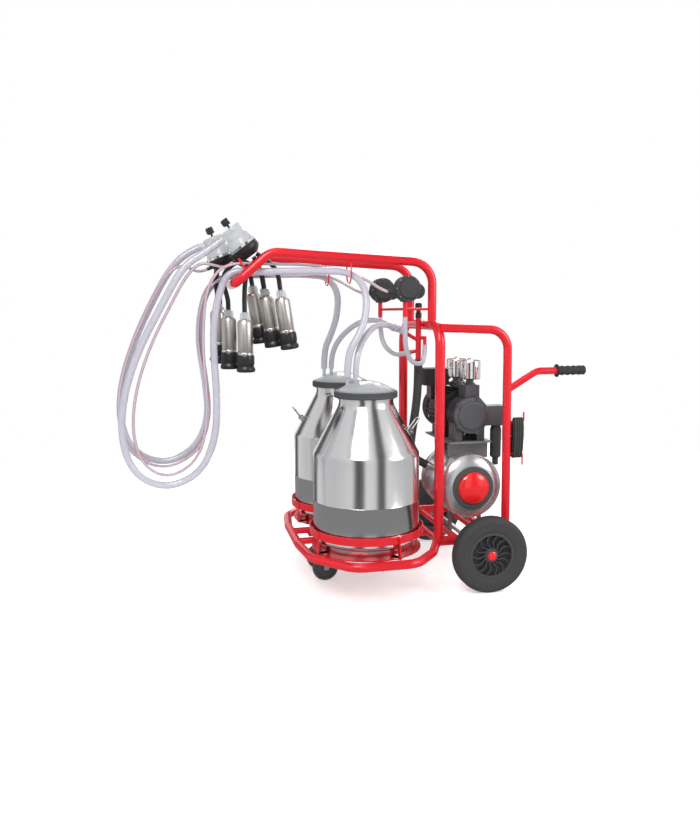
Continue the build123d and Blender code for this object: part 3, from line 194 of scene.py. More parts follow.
class Look(Enum):
    """Every finish on the machine."""
    RED = Finish("red_paint", "red_paint", (0.62, 0.008, 0.012), 0.22, coat=0.7, bump=0.03, scale=60)
    STEEL = Finish("polished_steel", "stainless", (0.64, 0.64, 0.65), 0.17, 1.0, vary=0.03, wear=0.10,
                   scale=8, stretch=(14, 14, 0.6))
    SHELL = Finish("brushed_shell", "stainless", (0.60, 0.585, 0.55), 0.36, 1.0, wear=0.12, scale=20,
                   stretch=(3, 3, 30))
    CHROME = Finish("chrome", "chrome", (0.83, 0.83, 0.84), 0.07, 1.0, vary=0.01, wear=0.02)
    ZINC = Finish("zinc", "zinc_steel", (0.55, 0.56, 0.58), 0.32, 1.0, wear=0.12)
    TANK = Finish("tank_silver", "tank_paint", (0.52, 0.53, 0.55), 0.26, 0.75, coat=0.3, vary=0.05, scale=40)
    BRACKET = Finish("bracket_grey", "bracket_steel", (0.20, 0.205, 0.21), 0.45, 0.3)
    SEAL = Finish("seal_rubber", "seal_rubber", (0.045, 0.047, 0.05), 0.50, bump=0.05, scale=120)
    CAP_RED = Finish("cap_red", "red_plastic", (0.66, 0.012, 0.015), 0.16, coat=0.5)
    TYRE = Finish("tyre_rubber", "tyre_rubber", (0.018, 0.018, 0.019), 0.62, bump=0.12, scale=180)
    HUB = Finish("hub_plastic", "hub_plastic", (0.026, 0.027, 0.029), 0.42, bump=0.05, scale=140)
    CASTER = Finish("caster_rubber", "caster_rubber", (0.03, 0.03, 0.03), 0.55)
    MOTOR = Finish("motor_black", "motor_paint", (0.018, 0.018, 0.02), 0.38, coat=0.1)
    IRON = Finish("cast_iron", "cast_iron", (0.055, 0.057, 0.062), 0.48, 0.35, bump=0.35, scale=220)
    BRIGHT = Finish("bright_steel", "bright_steel", (0.6, 0.6, 0.6), 0.25, 1.0)
    PIPE_RUBBER = Finish("silencer_rubber", "silencer_rubber", (0.025, 0.025, 0.027), 0.5)
    PLASTIC = Finish("black_plastic", "black_plastic", (0.02, 0.021, 0.023), 0.40, bump=0.05, scale=160)
    GRIP = Finish("grip_rubber", "grip_rubber", (0.02, 0.02, 0.021), 0.55, bump=0.08, scale=160)
    CUP_RUBBER = Finish("cup_rubber", "claw_rubber", (0.014, 0.014, 0.015), 0.36, scale=90)
    VALVE = Finish("valve_plastic", "valve_plastic", (0.015, 0.015, 0.016), 0.20, coat=0.3)
    LID = Finish("clear_lid", "clear_plastic", (0.58, 0.61, 0.63), 0.06, alpha=0.46, vary=0.01, wear=0.02)
    BOWL = Finish("clear_bowl", "clear_plastic", (0.55, 0.57, 0.60), 0.05, alpha=0.50, vary=0.01, wear=0.02)
    HOSE = Finish("milk_hose", "clear_hose", (0.47, 0.46, 0.53), 0.14, coat=0.4, alpha=0.78, vary=0.03, scale=10)
    STRIPE = Finish("red_stripe", "clear_hose", (0.66, 0.012, 0.035), 0.25, vary=0.02)
    BLACK_HOSE = Finish("black_hose", "black_hose", (0.02, 0.02, 0.022), 0.42)
    LEAD = Finish("lead_rubber", "lead_rubber", (0.018, 0.018, 0.019), 0.48)
    LABEL = Finish("plain_label", "stainless", (0.80, 0.80, 0.81), 0.42, vary=0.01)


# ---------------------------------------------------------------- meshes

def arcs(points: list[Point], bends: list[float] | float, steps: int = 9) -> list[Vector]:
    """A route of straight runs with a round bend at each corner.

    Args:
        points: the route's corners in millimetres.
        bends: each inner corner's bend radius.
        steps: segments in each bend.

    Returns:
        Points along the route in the frame's metres.
    """
    corners = [place(*point) for point in points]
    if isinstance(bends, float):
        bends = [bends] * (len(points) - 2)
    route = [corners[0]]
    for before, corner, after, bend in zip(corners, corners[1:], corners[2:], bends):
        start, leave = (corner - before).normalized(), (after - corner).normalized()
        turn = start.angle(leave)
        axis = start.cross(leave).normalized()
        radius = bend / 1000
        tangent = corner - start * radius * math.tan(turn / 2)
        centre = tangent + axis.cross(start) * radius
        for step in range(steps + 1):
            route.append(centre + Matrix.Rotation(turn * step / steps, 3, axis) @ (tangent - centre))
    return route + [corners[-1]]


def circle(radius: float, centre: tuple[float, float] = (0.0, 0.0), sides: int = 24) -> Profile:
    """A circle's outline in the plane across a route, in metres."""
    return [(centre[0] + radius * math.cos(2 * math.pi * i / sides),
             centre[1] + radius * math.sin(2 * math.pi * i / sides)) for i in range(sides)]


class Shape:
    """A mesh under construction, in the frame's metres."""

    def __init__(self) -> None:
        """Starts empty."""
        self.points: list[Vector] = []
        self.faces: list[tuple[int, ...]] = []
        self.kinds: list[int] = []

    def _skin(self, rings: list[list[Vector]], kind: int, closed: bool) -> None:
        """Joins rings of equal length with quads, and caps the ends unless the rings close on themselves."""
        base = len(self.points)
        size = len(rings[0])
        for ring in rings:
            self.points += ring
        pairs = len(rings) if closed else len(rings) - 1
        for row in range(pairs):
            low, high = base + row * size, base + (row + 1) % len(rings) * size
            for i in range(size):
                j = (i + 1) % size
                self.faces.append((low + i, low + j, high + j, high + i))
                self.kinds.append(kind)
        if not closed:
            self.faces += [tuple(base + i for i in reversed(range(size))),
                           tuple(base + (len(rings) - 1) * size + i for i in range(size))]
            self.kinds += [kind, kind]

    def sweep(self, route: list[Vector], profile: Profile, kind: int = 0, closed: bool = False) -> "Shape":
        """Carries an outline along a route without twist.

        Args:
            route: points in metres.
            profile: the outline across the route, in metres.
            kind: the material's index.
            closed: whether the route returns to its start.

        Returns:
            This shape.
        """
        count = len(route)
        rings, side = [], None
        for i, point in enumerate(route):
            ahead = route[(i + 1) % count] if closed or i < count - 1 else point
            behind = route[i - 1] if closed or i > 0 else point
            along = (ahead - behind).normalized()
            if side is None:
                start = Vector((0, 0, 1)) if abs(along.z) < 0.9 else Vector((1, 0, 0))
                side = start.cross(along).normalized()
            side = (side - along * side.dot(along)).normalized()
            over = along.cross(side)
            rings.append([point + side * u + over * v for u, v in profile])
        self._skin(rings, kind, closed)
        return self

    def lathe(self, profile: Profile, origin: Point, axis: Point = (0, 0, 1), kind: int = 0,
              sides: int = 72) -> "Shape":
        """Turns an outline about an axis.

        Args:
            profile: radius and height pairs in millimetres, a closed outline.
            origin: the axis's foot in millimetres.
            axis: its direction.
            kind: the material's index.
            sides: segments round the turn.

        Returns:
            This shape.
        """
        base, up = place(*origin), Vector(axis).normalized()
        side = up.orthogonal().normalized()
        over = up.cross(side)
        rings = []
        for i in range(sides):
            turn = 2 * math.pi * i / sides
            out = side * math.cos(turn) + over * math.sin(turn)
            rings.append([base + out * (max(r, 0.02) / 1000) + up * (z / 1000) for r, z in profile])
        self._skin(rings, kind, True)
        return self

    def box(self, low: Point, high: Point, kind: int = 0) -> "Shape":
        """An upright block between two corners in millimetres."""
        a, b = place(*low), place(*high)
        bottom = [Vector((x, y, a.z)) for x, y in ((a.x, a.y), (b.x, a.y), (b.x, b.y), (a.x, b.y))]
        self._skin([bottom, [Vector((p.x, p.y, b.z)) for p in bottom]], kind, False)
        return self


@dataclass
class Builder:
    """Turns shapes into pieces that ride on the CAD bodies."""
    count: int = 0

    def piece(self, name: str, shape: Shape, looks: list[Look], body: str, stands_for: tuple[str, ...] = (),
              crease: float = 32.0) -> bpy.types.Object:
        """Makes one piece.

        Args:
            name: the piece's name.
            shape: its mesh.
            looks: a finish for each material index.
            body: the CAD body it moves with, or an empty string for one that is left unattached.
            stands_for: the CAD nodes it replaces.
            crease: the angle in degrees above which an edge stays sharp.

        Returns:
            The new object.
        """
        mesh = bpy.data.meshes.new(name)
        mesh.from_pydata(shape.points, [], shape.faces)
        mesh.polygons.foreach_set("material_index", shape.kinds)
        for look in looks:
            mesh.materials.append(look.value.build())
        work = bmesh.new()
        work.from_mesh(mesh)
        bmesh.ops.recalc_face_normals(work, faces=work.faces)
        for face in work.faces:
            face.smooth = True
        for edge in work.edges:
            edge.smooth = len(edge.link_faces) == 2 and edge.calc_face_angle(0) < math.radians(crease)
        work.to_mesh(mesh)
        work.free()
        made = bpy.data.objects.new(name, mesh)
        bpy.context.scene.collection.objects.link(made)
        if body:
            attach(made, body)
        if stands_for:
            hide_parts(*stands_for)
        self.count += 1
        LOG.info("%s: %d faces on %s", name, len(mesh.polygons), body or "a blend")
        return made


# ---------------------------------------------------------------- repeated parts

class RingArray:
    """A geometry-nodes group that repeats one object round a circle and gives it a material."""

    def __init__(self) -> None:
        """Builds the group: circle, instances turned outward, realised, with a material set."""
        tree = bpy.data.node_groups.new("ring_array", "GeometryNodeTree")
        for name, kind in (("Part", "NodeSocketObject"), ("Count", "NodeSocketInt"),
                           ("Radius", "NodeSocketFloat"), ("Finish", "NodeSocketMaterial")):
            tree.interface.new_socket(name, in_out="INPUT", socket_type=kind)
        tree.interface.new_socket("Geometry", in_out="OUTPUT", socket_type="NodeSocketGeometry")
        nodes, links = tree.nodes, tree.links
        given, result = nodes.new("NodeGroupInput"), nodes.new("NodeGroupOutput")
        ring = nodes.new("GeometryNodeMeshCircle")
        source = nodes.new("GeometryNodeObjectInfo")
        where = nodes.new("GeometryNodeInputPosition")
        turn = nodes.new("FunctionNodeAlignRotationToVector")
        turn.axis = "X"
        turn.pivot_axis = "Z"
        scatter = nodes.new("GeometryNodeInstanceOnPoints")
        real = nodes.new("GeometryNodeRealizeInstances")
        paint = nodes.new("GeometryNodeSetMaterial")
        links.new(given.outputs["Part"], source.inputs["Object"])
        links.new(given.outputs["Count"], ring.inputs["Vertices"])
        links.new(given.outputs["Radius"], ring.inputs["Radius"])
        links.new(where.outputs[0], turn.inputs["Vector"])
        links.new(ring.outputs[0], scatter.inputs["Points"])
        links.new(source.outputs["Geometry"], scatter.inputs["Instance"])
        links.new(turn.outputs[0], scatter.inputs["Rotation"])
        links.new(scatter.outputs[0], real.inputs[0])
        links.new(real.outputs[0], paint.inputs["Geometry"])
        links.new(given.outputs["Finish"], paint.inputs["Material"])
        links.new(paint.outputs[0], result.inputs[0])
        self.tree = tree

    def repeat(self, name: str, part: Shape, count: int, radius: float, look: Look, centre: Point,
               axis: Point, body: str) -> bpy.types.Object:
        """Repeats a part round an axis.

        Args:
            name: the piece's name.
            part: the repeated shape about the frame's origin, X outward and Z along the axis.
            count: how many.
            radius: the circle's radius in millimetres.
            look: the finish.
            centre: the circle's centre in millimetres.
            axis: its axis.
            body: the CAD body that the piece moves with.

        Returns:
            The piece, as a plain mesh.
        """
        source_mesh = bpy.data.meshes.new(name + "_part")
        source_mesh.from_pydata(part.points, [], part.faces)
        source = bpy.data.objects.new(name + "_part", source_mesh)
        host = bpy.data.objects.new(name + "_host", bpy.data.meshes.new(name + "_host"))
        for item in (source, host):
            bpy.context.scene.collection.objects.link(item)
        modifier = host.modifiers.new("array", "NODES")
        modifier.node_group = self.tree
        values = {"Part": source, "Count": count, "Radius": radius / 1000, "Finish": look.value.build()}
        for item in self.tree.interface.items_tree:
            if item.in_out == "INPUT":
                modifier[item.identifier] = values[item.name]
        host.update_tag()
        bpy.context.view_layer.update()
        mesh = bpy.data.meshes.new_from_object(host.evaluated_get(bpy.context.evaluated_depsgraph_get()))
        for item in (host, source):
            bpy.data.objects.remove(item)
        mesh.name = name
        mesh.transform(Matrix.Translation(place(*centre)) @ Vector((0, 0, 1)).rotation_difference(
            Vector(axis)).to_matrix().to_4x4())
        made = bpy.data.objects.new(name, mesh)
        bpy.context.scene.collection.objects.link(made)
        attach(made, body)
        LOG.info("%s: %d copies on %s", name, count, body)
        return made


def local(shape: Shape) -> Shape:
    """Moves a shape laid out about the buckets' centre line to the frame's origin, for repeating."""
    shape.points = [point + Vector((ORIGIN_X / 1000, 0, 0)) for point in shape.points]
    return shape


# ---------------------------------------------------------------- sub-assemblies

@dataclass
class Trolley:
    """Painted tube frame, platform, arm, handle and cradles."""
    make: Builder
    rail_z: float = 159.0
    arch_top: float = 908.0
    cross_radius: float = 12.0
    post_x: float = 502.0
    rear_cross_x: float = 478.0
    bar_y: float = 66.0
    arm_bends: list[float] = field(default_factory=lambda: [75.0, 70.0, 35.0, 35.0, 70.0, 75.0])
    rings: tuple[Point, ...] = ((-37.0, -ARM_Y, 1086.6), (-63.0, ARM_Y, 1088.1))

    def tube(self, name: str, points: list[Point], bends: list[float] | float, radius: float) -> None:
        """One bent, painted tube that replaces the node of its name."""
        shape = Shape().sweep(arcs(points, bends), circle(radius / 1000, sides=32))
        self.make.piece(name + "_tube_skin", shape, [Look.RED], "frame", (name,))

    def build(self) -> None:
        """Builds every painted tube."""
        arch = [(ARCH_X, -ARCH_Y, self.rail_z), (ARCH_X, -ARCH_Y, self.arch_top), (ARCH_X, ARCH_Y, self.arch_top),
                (ARCH_X, ARCH_Y, self.rail_z)]
        self.tube("front_arch", arch, 70.0, 17.0)
        self.tube("rear_hoop", [(ARCH_X, -ARCH_Y, 900), (self.post_x, -ARCH_Y, 890),
                                (self.post_x + 5, -ARCH_Y, self.rail_z)], 70.0, 15.0)
        half = [(250, -216, 154), (203, -318, 154), (118, -416, 154), (-88, -416, 154), (-203, -278, 154),
                (-222, -120, 154)]
        ring = half + [(x, -y, z) for x, y, z in reversed(half)]
        bends = [60.0, 80.0, 80.0, 85.0]
        self.tube("bumper_tube", ring, bends + [85.0, 85.0] + bends[::-1], 15.0)
        self.tube("handle_tube", [(self.post_x + 2, -ARCH_Y, 683), (612, -ARCH_Y, 746), (793, -ARCH_Y, 746)],
                  45.0, 12.5)
        self.base()
        self.arm()
        self.grip()
        for name, side in (("near", -1), ("far", 1)):
            self.cradle(name, side * BUCKET_Y)

    def base(self) -> None:
        """Rails, crossbars, platform bars and caster plates."""
        shape = Shape()
        runs = [((240, s * ARCH_Y, self.rail_z), (524, s * ARCH_Y, self.rail_z), 17.0) for s in (-1, 1)]
        runs += [((x, -ARCH_Y, self.rail_z), (x, ARCH_Y, self.rail_z), self.cross_radius)
                 for x in (ARCH_X, 330.0, 441.0, self.rear_cross_x)]
        for side in (-1, 1):
            y = side * self.bar_y
            runs.append(((-222, y, 149), (ARCH_X, y, 149), self.cross_radius))
            runs.append(((0, y, 149), (0, side * 416, 149), self.cross_radius))
            shape.box((-158, y - 32, 133), (-78, y + 32, 137))
        for start, end, radius in runs:
            shape.sweep([place(*start), place(*end)], circle(radius / 1000, sides=28))
        self.make.piece("base_tubes", shape, [Look.RED], "frame", ("base_rails",))

    def arm(self) -> None:
        """The cluster arm with its hose rings and hook spike."""
        near = [(ARCH_X, -ARM_Y, self.arch_top), (ARCH_X, -ARM_Y, 1120.5), (-300, -ARM_Y, 1152),
                (-415, -ARM_Y, 1051)]
        route = near + [(x, -y, z) for x, y, z in reversed(near)]
        shape = Shape().sweep(arcs(route, self.arm_bends), circle(0.015, sides=32))
        for x, y, z in self.rings:
            turns = [place(x, y + 36.5 * math.cos(math.radians(a)), z + 36.5 * math.sin(math.radians(a)))
                     for a in range(0, 360, 9)]
            shape.sweep(turns, circle(0.0025, sides=10), closed=True)
        shape.sweep([place(-381, -ARM_Y, 1091), place(-405, -ARM_Y, 1129)], circle(0.004, sides=14))
        self.make.piece("arm_tube", shape, [Look.RED], "frame", ("cluster_arm",))

    def grip(self) -> None:
        """The ribbed hand grip with its flange."""
        profile = [(12.6, 0), (21, 0), (23, 1.5), (23, 3), (20, 5), (15.5, 7.5)]
        for ring in range(4):
            for step in range(9):
                turn = math.pi * step / 8
                profile.append((14.6 + 2.4 * math.sin(turn) ** 1.5, 12 + ring * 22 + 20 * step / 8))
        profile += [(16.5, 101), (16.5, 105), (14.5, 108), (0, 108), (0, 106), (12.6, 106)]
        shape = Shape().lathe(profile, (687, -ARCH_Y, 746), (1, 0, 0), sides=48)
        self.make.piece("hand_grip", shape, [Look.GRIP], "frame", ("handle_grip",), crease=50)

    def cradle(self, name: str, y: float) -> None:
        """One bucket's hoop, straps and seat ring."""
        shape = Shape().lathe([(190.25, 214), (194.25, 214), (194.25, 240), (190.25, 240)], (0, y, 0), sides=120)
        shape.lathe([(150, 161), (186, 161), (186, 165), (150, 165)], (0, y, 0), sides=120)
        for angle in (20, 110, 200, 290):
            out = Vector((math.cos(math.radians(angle)), math.sin(math.radians(angle)), 0))
            foot, low, high = [place(0, y, z) + out * (r / 1000)
                               for r, z in ((165.0, 163.0), (192.2, 163.0), (192.2, 239.0))]
            flat = [(-0.0115, -0.002), (0.0115, -0.002), (0.0115, 0.002), (-0.0115, 0.002)]
            shape.sweep([foot, low], flat).sweep([low, high], flat)
        self.make.piece(name + "_cradle_bands", shape, [Look.RED], "frame", (name + "_cradle",))


@dataclass
class Buckets:
    """Stainless buckets, seals and clear lids."""
    make: Builder
    wall: float = 1.5

    def build(self) -> None:
        """Builds both buckets."""
        for name, side in (("near", -1), ("far", 1)):
            self.shell(name, side)
            self.lid(name, side * BUCKET_Y)

    def shell(self, name: str, side: int) -> None:
        """The bucket's thin wall with its seam beads, rolled rim and ears."""
        wall = self.wall
        outer = [(168, 165), (168, 190), (171, 194), (180, 198), (180, 202), (181, 204), (180, 206), (180, 330),
                 (180.6, 331), (180, 332), (180, 480), (179, 489), (175, 496), (100, 637), (97, 642),
                 (95, 648), (92.5, 655), (92.5, 667), (95.5, 668), (95.5, 671), (94, 672)]
        inner = [(91, 672), (91, 655), (94.5, 644), (98, 636), (174, 494), (178.5, 485), (178.5, 203),
                 (164, 192), (164, 186), (2, 186), (2, 184), (156, 184), (166.5, 178), (166.5, 165)]
        y = side * BUCKET_Y
        shape = Shape().lathe(outer + inner, (0, y, 0), sides=160)
        for ear in (-25.0, 25.0):
            low, high = sorted((-side * 142.0, -side * 160.0))
            shape.box((low, y + ear - 1.5, 544), (high, y + ear + 1.5, 562))
        self.make.piece(name + "_bucket_shell", shape, [Look.STEEL], "frame", (name + "_bucket",))
        seal = Shape().lathe([(88, 672.2), (104, 672.2), (106.7, 675), (106.7, 681), (105.6, 683), (106.7, 685),
                              (106.7, 690), (104, 693.4), (88, 693.4)], (0, y, 0), sides=120)
        self.make.piece(name + "_lid_seal", seal, [Look.SEAL], "frame", ("lid_gaskets",) if side > 0 else ())

    def lid(self, name: str, y: float) -> None:
        """The clear lid: flat rim, dome and nipples."""
        plate_top, top = 697.6, 728.0
        ball = (92.0 ** 2 + (top - plate_top) ** 2) / (2 * (top - plate_top))
        dome = [(92.0 * (1 - i / 14), top - ball + math.sqrt(ball ** 2 - (92.0 * (1 - i / 14)) ** 2))
                for i in range(15)]
        inside = [(max(r - 4, 0), z - 3.5) for r, z in reversed(dome)]
        profile = [(84, 690), (84, 693.7), (99, 693.7), (99, plate_top)] + dome + inside
        shape = Shape().lathe(profile, (0, y, 0), sides=120)
        for x in (-62.0, -34.0):
            shape.lathe([(5, 712), (7, 712), (7, 724), (8, 726), (7, 728), (8, 732), (7, 734), (6.5, 740), (5, 740)],
                        (x, y, 0), sides=28)
        body = name + "_lid"
        self.make.piece(name + "_clear_lid", shape, [Look.LID], body, (name + "_lid",))


@dataclass
class Wheels:
    """Rubber tyres on swept-spoke hubs."""
    make: Builder
    array: RingArray
    centre_x: float = 406.6
    radius: float = 131.9
    spokes: int = 14

    def build(self) -> None:
        """Builds both large wheels."""
        for name, side in (("near", -1), ("far", 1)):
            self.wheel(name, side)

    def wheel(self, name: str, side: int) -> None:
        """One wheel, with its outer face away from the machine."""
        centre, axis, body = (self.centre_x, side * 316.0, self.radius), (0, side, 0), name + "_wheel"
        r = self.radius
        tyre = [(79, -23), (87, -27), (104, -29), (118, -28), (124, -24), (r - 3, -20), (r, -13), (r, -8),
                (r - 3, -7), (r - 3, -4), (r, -3), (r, 3), (r - 3, 4), (r - 3, 7), (r, 8), (r, 13), (r - 3, 20),
                (124, 24), (118, 28), (112, 28.4), (110, 27.6), (104, 29), (87, 27), (79, 23)]
        self.make.piece(name + "_tyre_rubber", Shape().lathe(tyre, centre, axis, sides=120), [Look.TYRE], body,
                        (name + "_tyre",), crease=40)
        rim = [(70, -23), (79, -23), (79, 23), (76, 24.5), (72, 24.5), (70, 22)]
        boss = [(10.05, -37), (24, -37), (26, -30), (26, 16), (22, 20), (14, 21), (10.05, 21)]
        web = [(25, 1), (71, 3), (71, 6), (25, 5)]
        hub = Shape().lathe(rim, centre, axis, sides=96).lathe(boss, centre, axis, sides=48)
        hub.lathe(web, centre, axis, sides=96)
        self.make.piece(name + "_hub_rim", hub, [Look.HUB], body, (name + "_hub",))
        cap = Shape().lathe([(0, 19), (15, 19), (15, 24), (11, 27), (0, 28)], centre, axis, sides=40)
        self.make.piece(name + "_hub_cap", cap, [Look.CAP_RED], body)
        spoke = Shape()
        for step in range(6):
            a, b = step / 6, (step + 1) / 6
            points = [Vector(((t - 0.5) * 0.046, 0.011 * math.sin(math.pi * t) - 0.004, 0.013)) for t in (a, b)]
            flat = [(-0.0016, -0.007), (0.0016, -0.007), (0.0016, 0.007), (-0.0016, 0.007)]
            spoke.sweep(points, flat)
        self.array.repeat(name + "_hub_spokes", spoke, self.spokes, 48.0, Look.HUB, centre, axis, body)


@dataclass
class Plant:
    """Tank, filters, pulsator screws and the finishes of the pump side."""
    make: Builder
    array: RingArray

    def build(self) -> None:
        """Builds the smooth round parts and dresses the CAD nodes whose shape is right."""
        tank = [(0.5, 30), (60, 24), (100, 8), (113.7, -8), (113.7, -40), (114.6, -42), (113.7, -44),
                (113.7, -176), (114.6, -178), (113.7, -180), (113.7, -220), (106.7, -229), (78, -243),
                (62, -243), (62, -238), (104, -222), (109, -216), (109, 0), (58, 18), (0.5, 24)]
        spun = [(r, z) for r, z in tank]
        shape = Shape().lathe(spun, (385.5, 35, 341), (0, 1, 0), sides=120)
        shape.sweep([place(262, -60, 402), place(300, -60, 384)], circle(0.013))
        self.make.piece("tank_skin", shape, [Look.TANK], "frame", ("tank_shell",))
        ring = Shape().lathe([(54, 0), (75, 0), (75, 4), (72, 6), (54, 6)], (385.5, -208, 341), (0, -1, 0), sides=96)
        self.make.piece("tank_ring", ring, [Look.SEAL], "frame", ("tank_gasket",))
        cap = Shape().lathe([(0, 6), (56.5, 6), (56.5, 10), (54, 14), (46, 19), (30, 24), (12, 26), (0, 26)],
                            (385.5, -208, 341), (0, -1, 0), sides=96)
        self.make.piece("tank_disc", cap, [Look.CAP_RED], "tank_cap", ("tank_cap",))
        cans = Shape()
        for x, y in ((419.0, -80.0), (405.0, 18.0)):
            cans.lathe([(0, 712), (34, 712), (38.5, 716), (38.5, 744), (37, 745.5), (38.5, 747), (38.5, 774),
                        (36, 779), (30, 780), (10, 781), (9, 787), (0, 787)], (x, y, 0), sides=80)
        self.make.piece("filter_can_skin", cans, [Look.CHROME], "frame", ("filter_cans",))
        for name, x, y in (("near", 162.0, -140.0), ("far", 128.0, 60.0)):
            screw = local(Shape().lathe([(0, 0), (3.0, 0), (3.0, 2.4), (2.2, 3.4), (0, 3.4)], (0, 0, 0), sides=16))
            self.array.repeat(name + "_pulsator_screws", screw, 8, 39.0, Look.CHROME, (x, y - 22.5, 1032),
                              (0, -1, 0), "frame")
        looks = {Look.PLASTIC: ("vacuum_regulator", "pulsator_bodies", "pulsator_caps", "terminal_box", "fan_cover",
                                "cooling_fan"),
                 Look.BRACKET: ("tank_brackets",), Look.MOTOR: ("motor_housing",),
                 Look.IRON: ("pump_casing", "pump_cover"), Look.BRIGHT: ("rotor_shaft", "pump_rotor"),
                 Look.PIPE_RUBBER: ("silencer",), Look.RED: ("vacuum_pipes", "cable_winder"),
                 Look.ZINC: ("wheel_axle", "near_caster_fork", "far_caster_fork"),
                 Look.CASTER: ("near_caster_wheel", "far_caster_wheel"), Look.LEAD: ("mains_plug",),
                 Look.SHELL: ("near_bucket_handle", "far_bucket_handle"), Look.HOSE: ("hose_joiner",),
                 Look.VALVE: ("near_claw_valve", "far_claw_valve")}
        for look, nodes in looks.items():
            for node in nodes:
                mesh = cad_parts[node].data
                mesh.materials.clear()
                mesh.materials.append(look.value.build())


@dataclass
class Clusters:
    """Teat cups, their curved milk tubes, and the claws."""
    make: Builder
    cups: dict[str, list[tuple[Point, float, list[Point], Point]]] = field(default_factory=lambda: {
        "near": [((-232, -65, 830), -0.150, [(-267, -65, 1075), (-286, -65, 1118)], (-340, -68, 1150)),
                 ((-281, -18, 836), -0.150, [(-316, -18, 1072), (-326, -26, 1106)], (-347, -40, 1140)),
                 ((-384, -65, 754), 0.0, [(-384, -65, 1000), (-380, -65, 1066)], (-366, -68, 1118)),
                 ((-435, -18, 763), 0.0, [(-435, -18, 1000), (-452, -18, 1062), (-438, -24, 1104)],
                  (-396, -38, 1128))],
        "far": [((-316, 40, 848), -0.150, [(-351, 40, 1080), (-364, 43, 1116)], (-396, 46, 1128)),
                ((-270, 94, 842), -0.150, [(-307, 94, 1088), (-330, 92, 1124)], (-392, 82, 1142)),
                ((-468, 39, 787), 0.0, [(-468, 39, 1025), (-474, 41, 1068)], (-466, 44, 1110)),
                ((-455, 104, 775), 0.0, [(-455, 104, 1012), (-466, 101, 1066)], (-462, 86, 1108))]})

    def build(self) -> None:
        """Builds the cups and claws of both clusters."""
        shells, rubber, sights = Shape(), Shape(), Shape()
        for group in self.cups.values():
            for bottom, lean, corners, end in group:
                self.cup(shells, rubber, sights, bottom, (lean, 0, 1), corners, end)
        self.make.piece("cup_shells", shells, [Look.SHELL, Look.CHROME], "frame", ("teat_shells",))
        self.make.piece("cup_rubbers", rubber, [Look.CUP_RUBBER], "frame", ("teat_liners",))
        self.make.piece("cup_sights", sights, [Look.BOWL], "frame", ("sight_tubes",))
        claws = (((-358, -60, 1142), (-0.602, 0, 0.798)), ((-434, 60, 1109), (-0.378, 0, 0.926)))
        bases, bowls = Shape(), Shape()
        for origin, axis in claws:
            bases.lathe([(0, 0), (26, 0), (30, 2), (43, 13), (48, 20), (50, 27), (50, 37.8), (0, 37.8)], origin, axis)
            bases.lathe([(50.5, 39), (53.5, 39), (53.5, 46), (50.5, 46)], origin, axis, kind=1)
            bowls.lathe([(49, 38), (52, 40), (50, 48), (47, 52), (45, 62), (43, 69), (37.5, 76), (37.5, 107),
                         (35, 112), (31, 114), (4.4, 114), (4.4, 111), (30, 111), (34, 106), (34, 76), (41, 67),
                         (44, 52), (46, 40)], origin, axis)
            side = Vector(axis).cross(Vector((0, 1, 0))).normalized()
            base = place(*origin)
            for out, along, reach, radius, target in ((31, 98, 51.5, 0.010, bowls), (40, 20, 62.0, 0.006, bases)):
                foot = base + Vector(axis).normalized() * (along / 1000)
                target.sweep([foot + side * (out / 1000), foot + side * (reach / 1000)], circle(radius))
        self.make.piece("claw_bases", bases, [Look.CUP_RUBBER, Look.CHROME], "frame", ("claw_bodies",))
        self.make.piece("claw_domes", bowls, [Look.BOWL], "frame", ("claw_bowls",))

    def cup(self, shells: Shape, rubber: Shape, sights: Shape, bottom: Point, axis: Point,
            corners: list[Point], end: Point) -> None:
        """One teat cup and its curved milk tube.

        Args:
            shells: the shape that gathers the steel.
            rubber: the shape that gathers the rubber.
            sights: the shape that gathers the clear tubes.
            bottom: the mouthpiece's lowest point in millimetres.
            axis: the cup's direction.
            corners: the milk tube's corners.
            end: where the tube meets the claw.
        """
        shells.lathe([(22, 58), (26, 58), (26, 64), (25, 66), (26, 68), (26, 164), (24, 170), (20, 176), (16, 176),
                      (21, 167), (22, 164)], bottom, axis, sides=48)
        shells.lathe([(26.1, 60), (27, 60), (27, 64), (26.1, 64)], bottom, axis, kind=1, sides=48)
        rubber.lathe([(12, 0), (26, 0), (30.5, 2), (32, 7), (31, 13), (27, 20), (28.5, 26), (29.5, 30),
                      (29.5, 50), (28.5, 55), (27, 58), (14, 58), (14, 54), (20, 40), (20, 8), (12, 5)], bottom, axis, sides=48)
        sights.lathe([(8.1, 176.2), (14, 176.2), (17, 180), (17, 184), (15, 198), (10, 202), (8.1, 202)], bottom,
                     axis, sides=36)
        start = Vector(bottom) + Vector(axis).normalized() * 178.0
        line = SmoothLine([tuple(start), tuple(Vector(bottom) + Vector(axis).normalized() * 215.0), *corners, end])
        rubber.sweep(line.points, circle(0.008, sides=18))


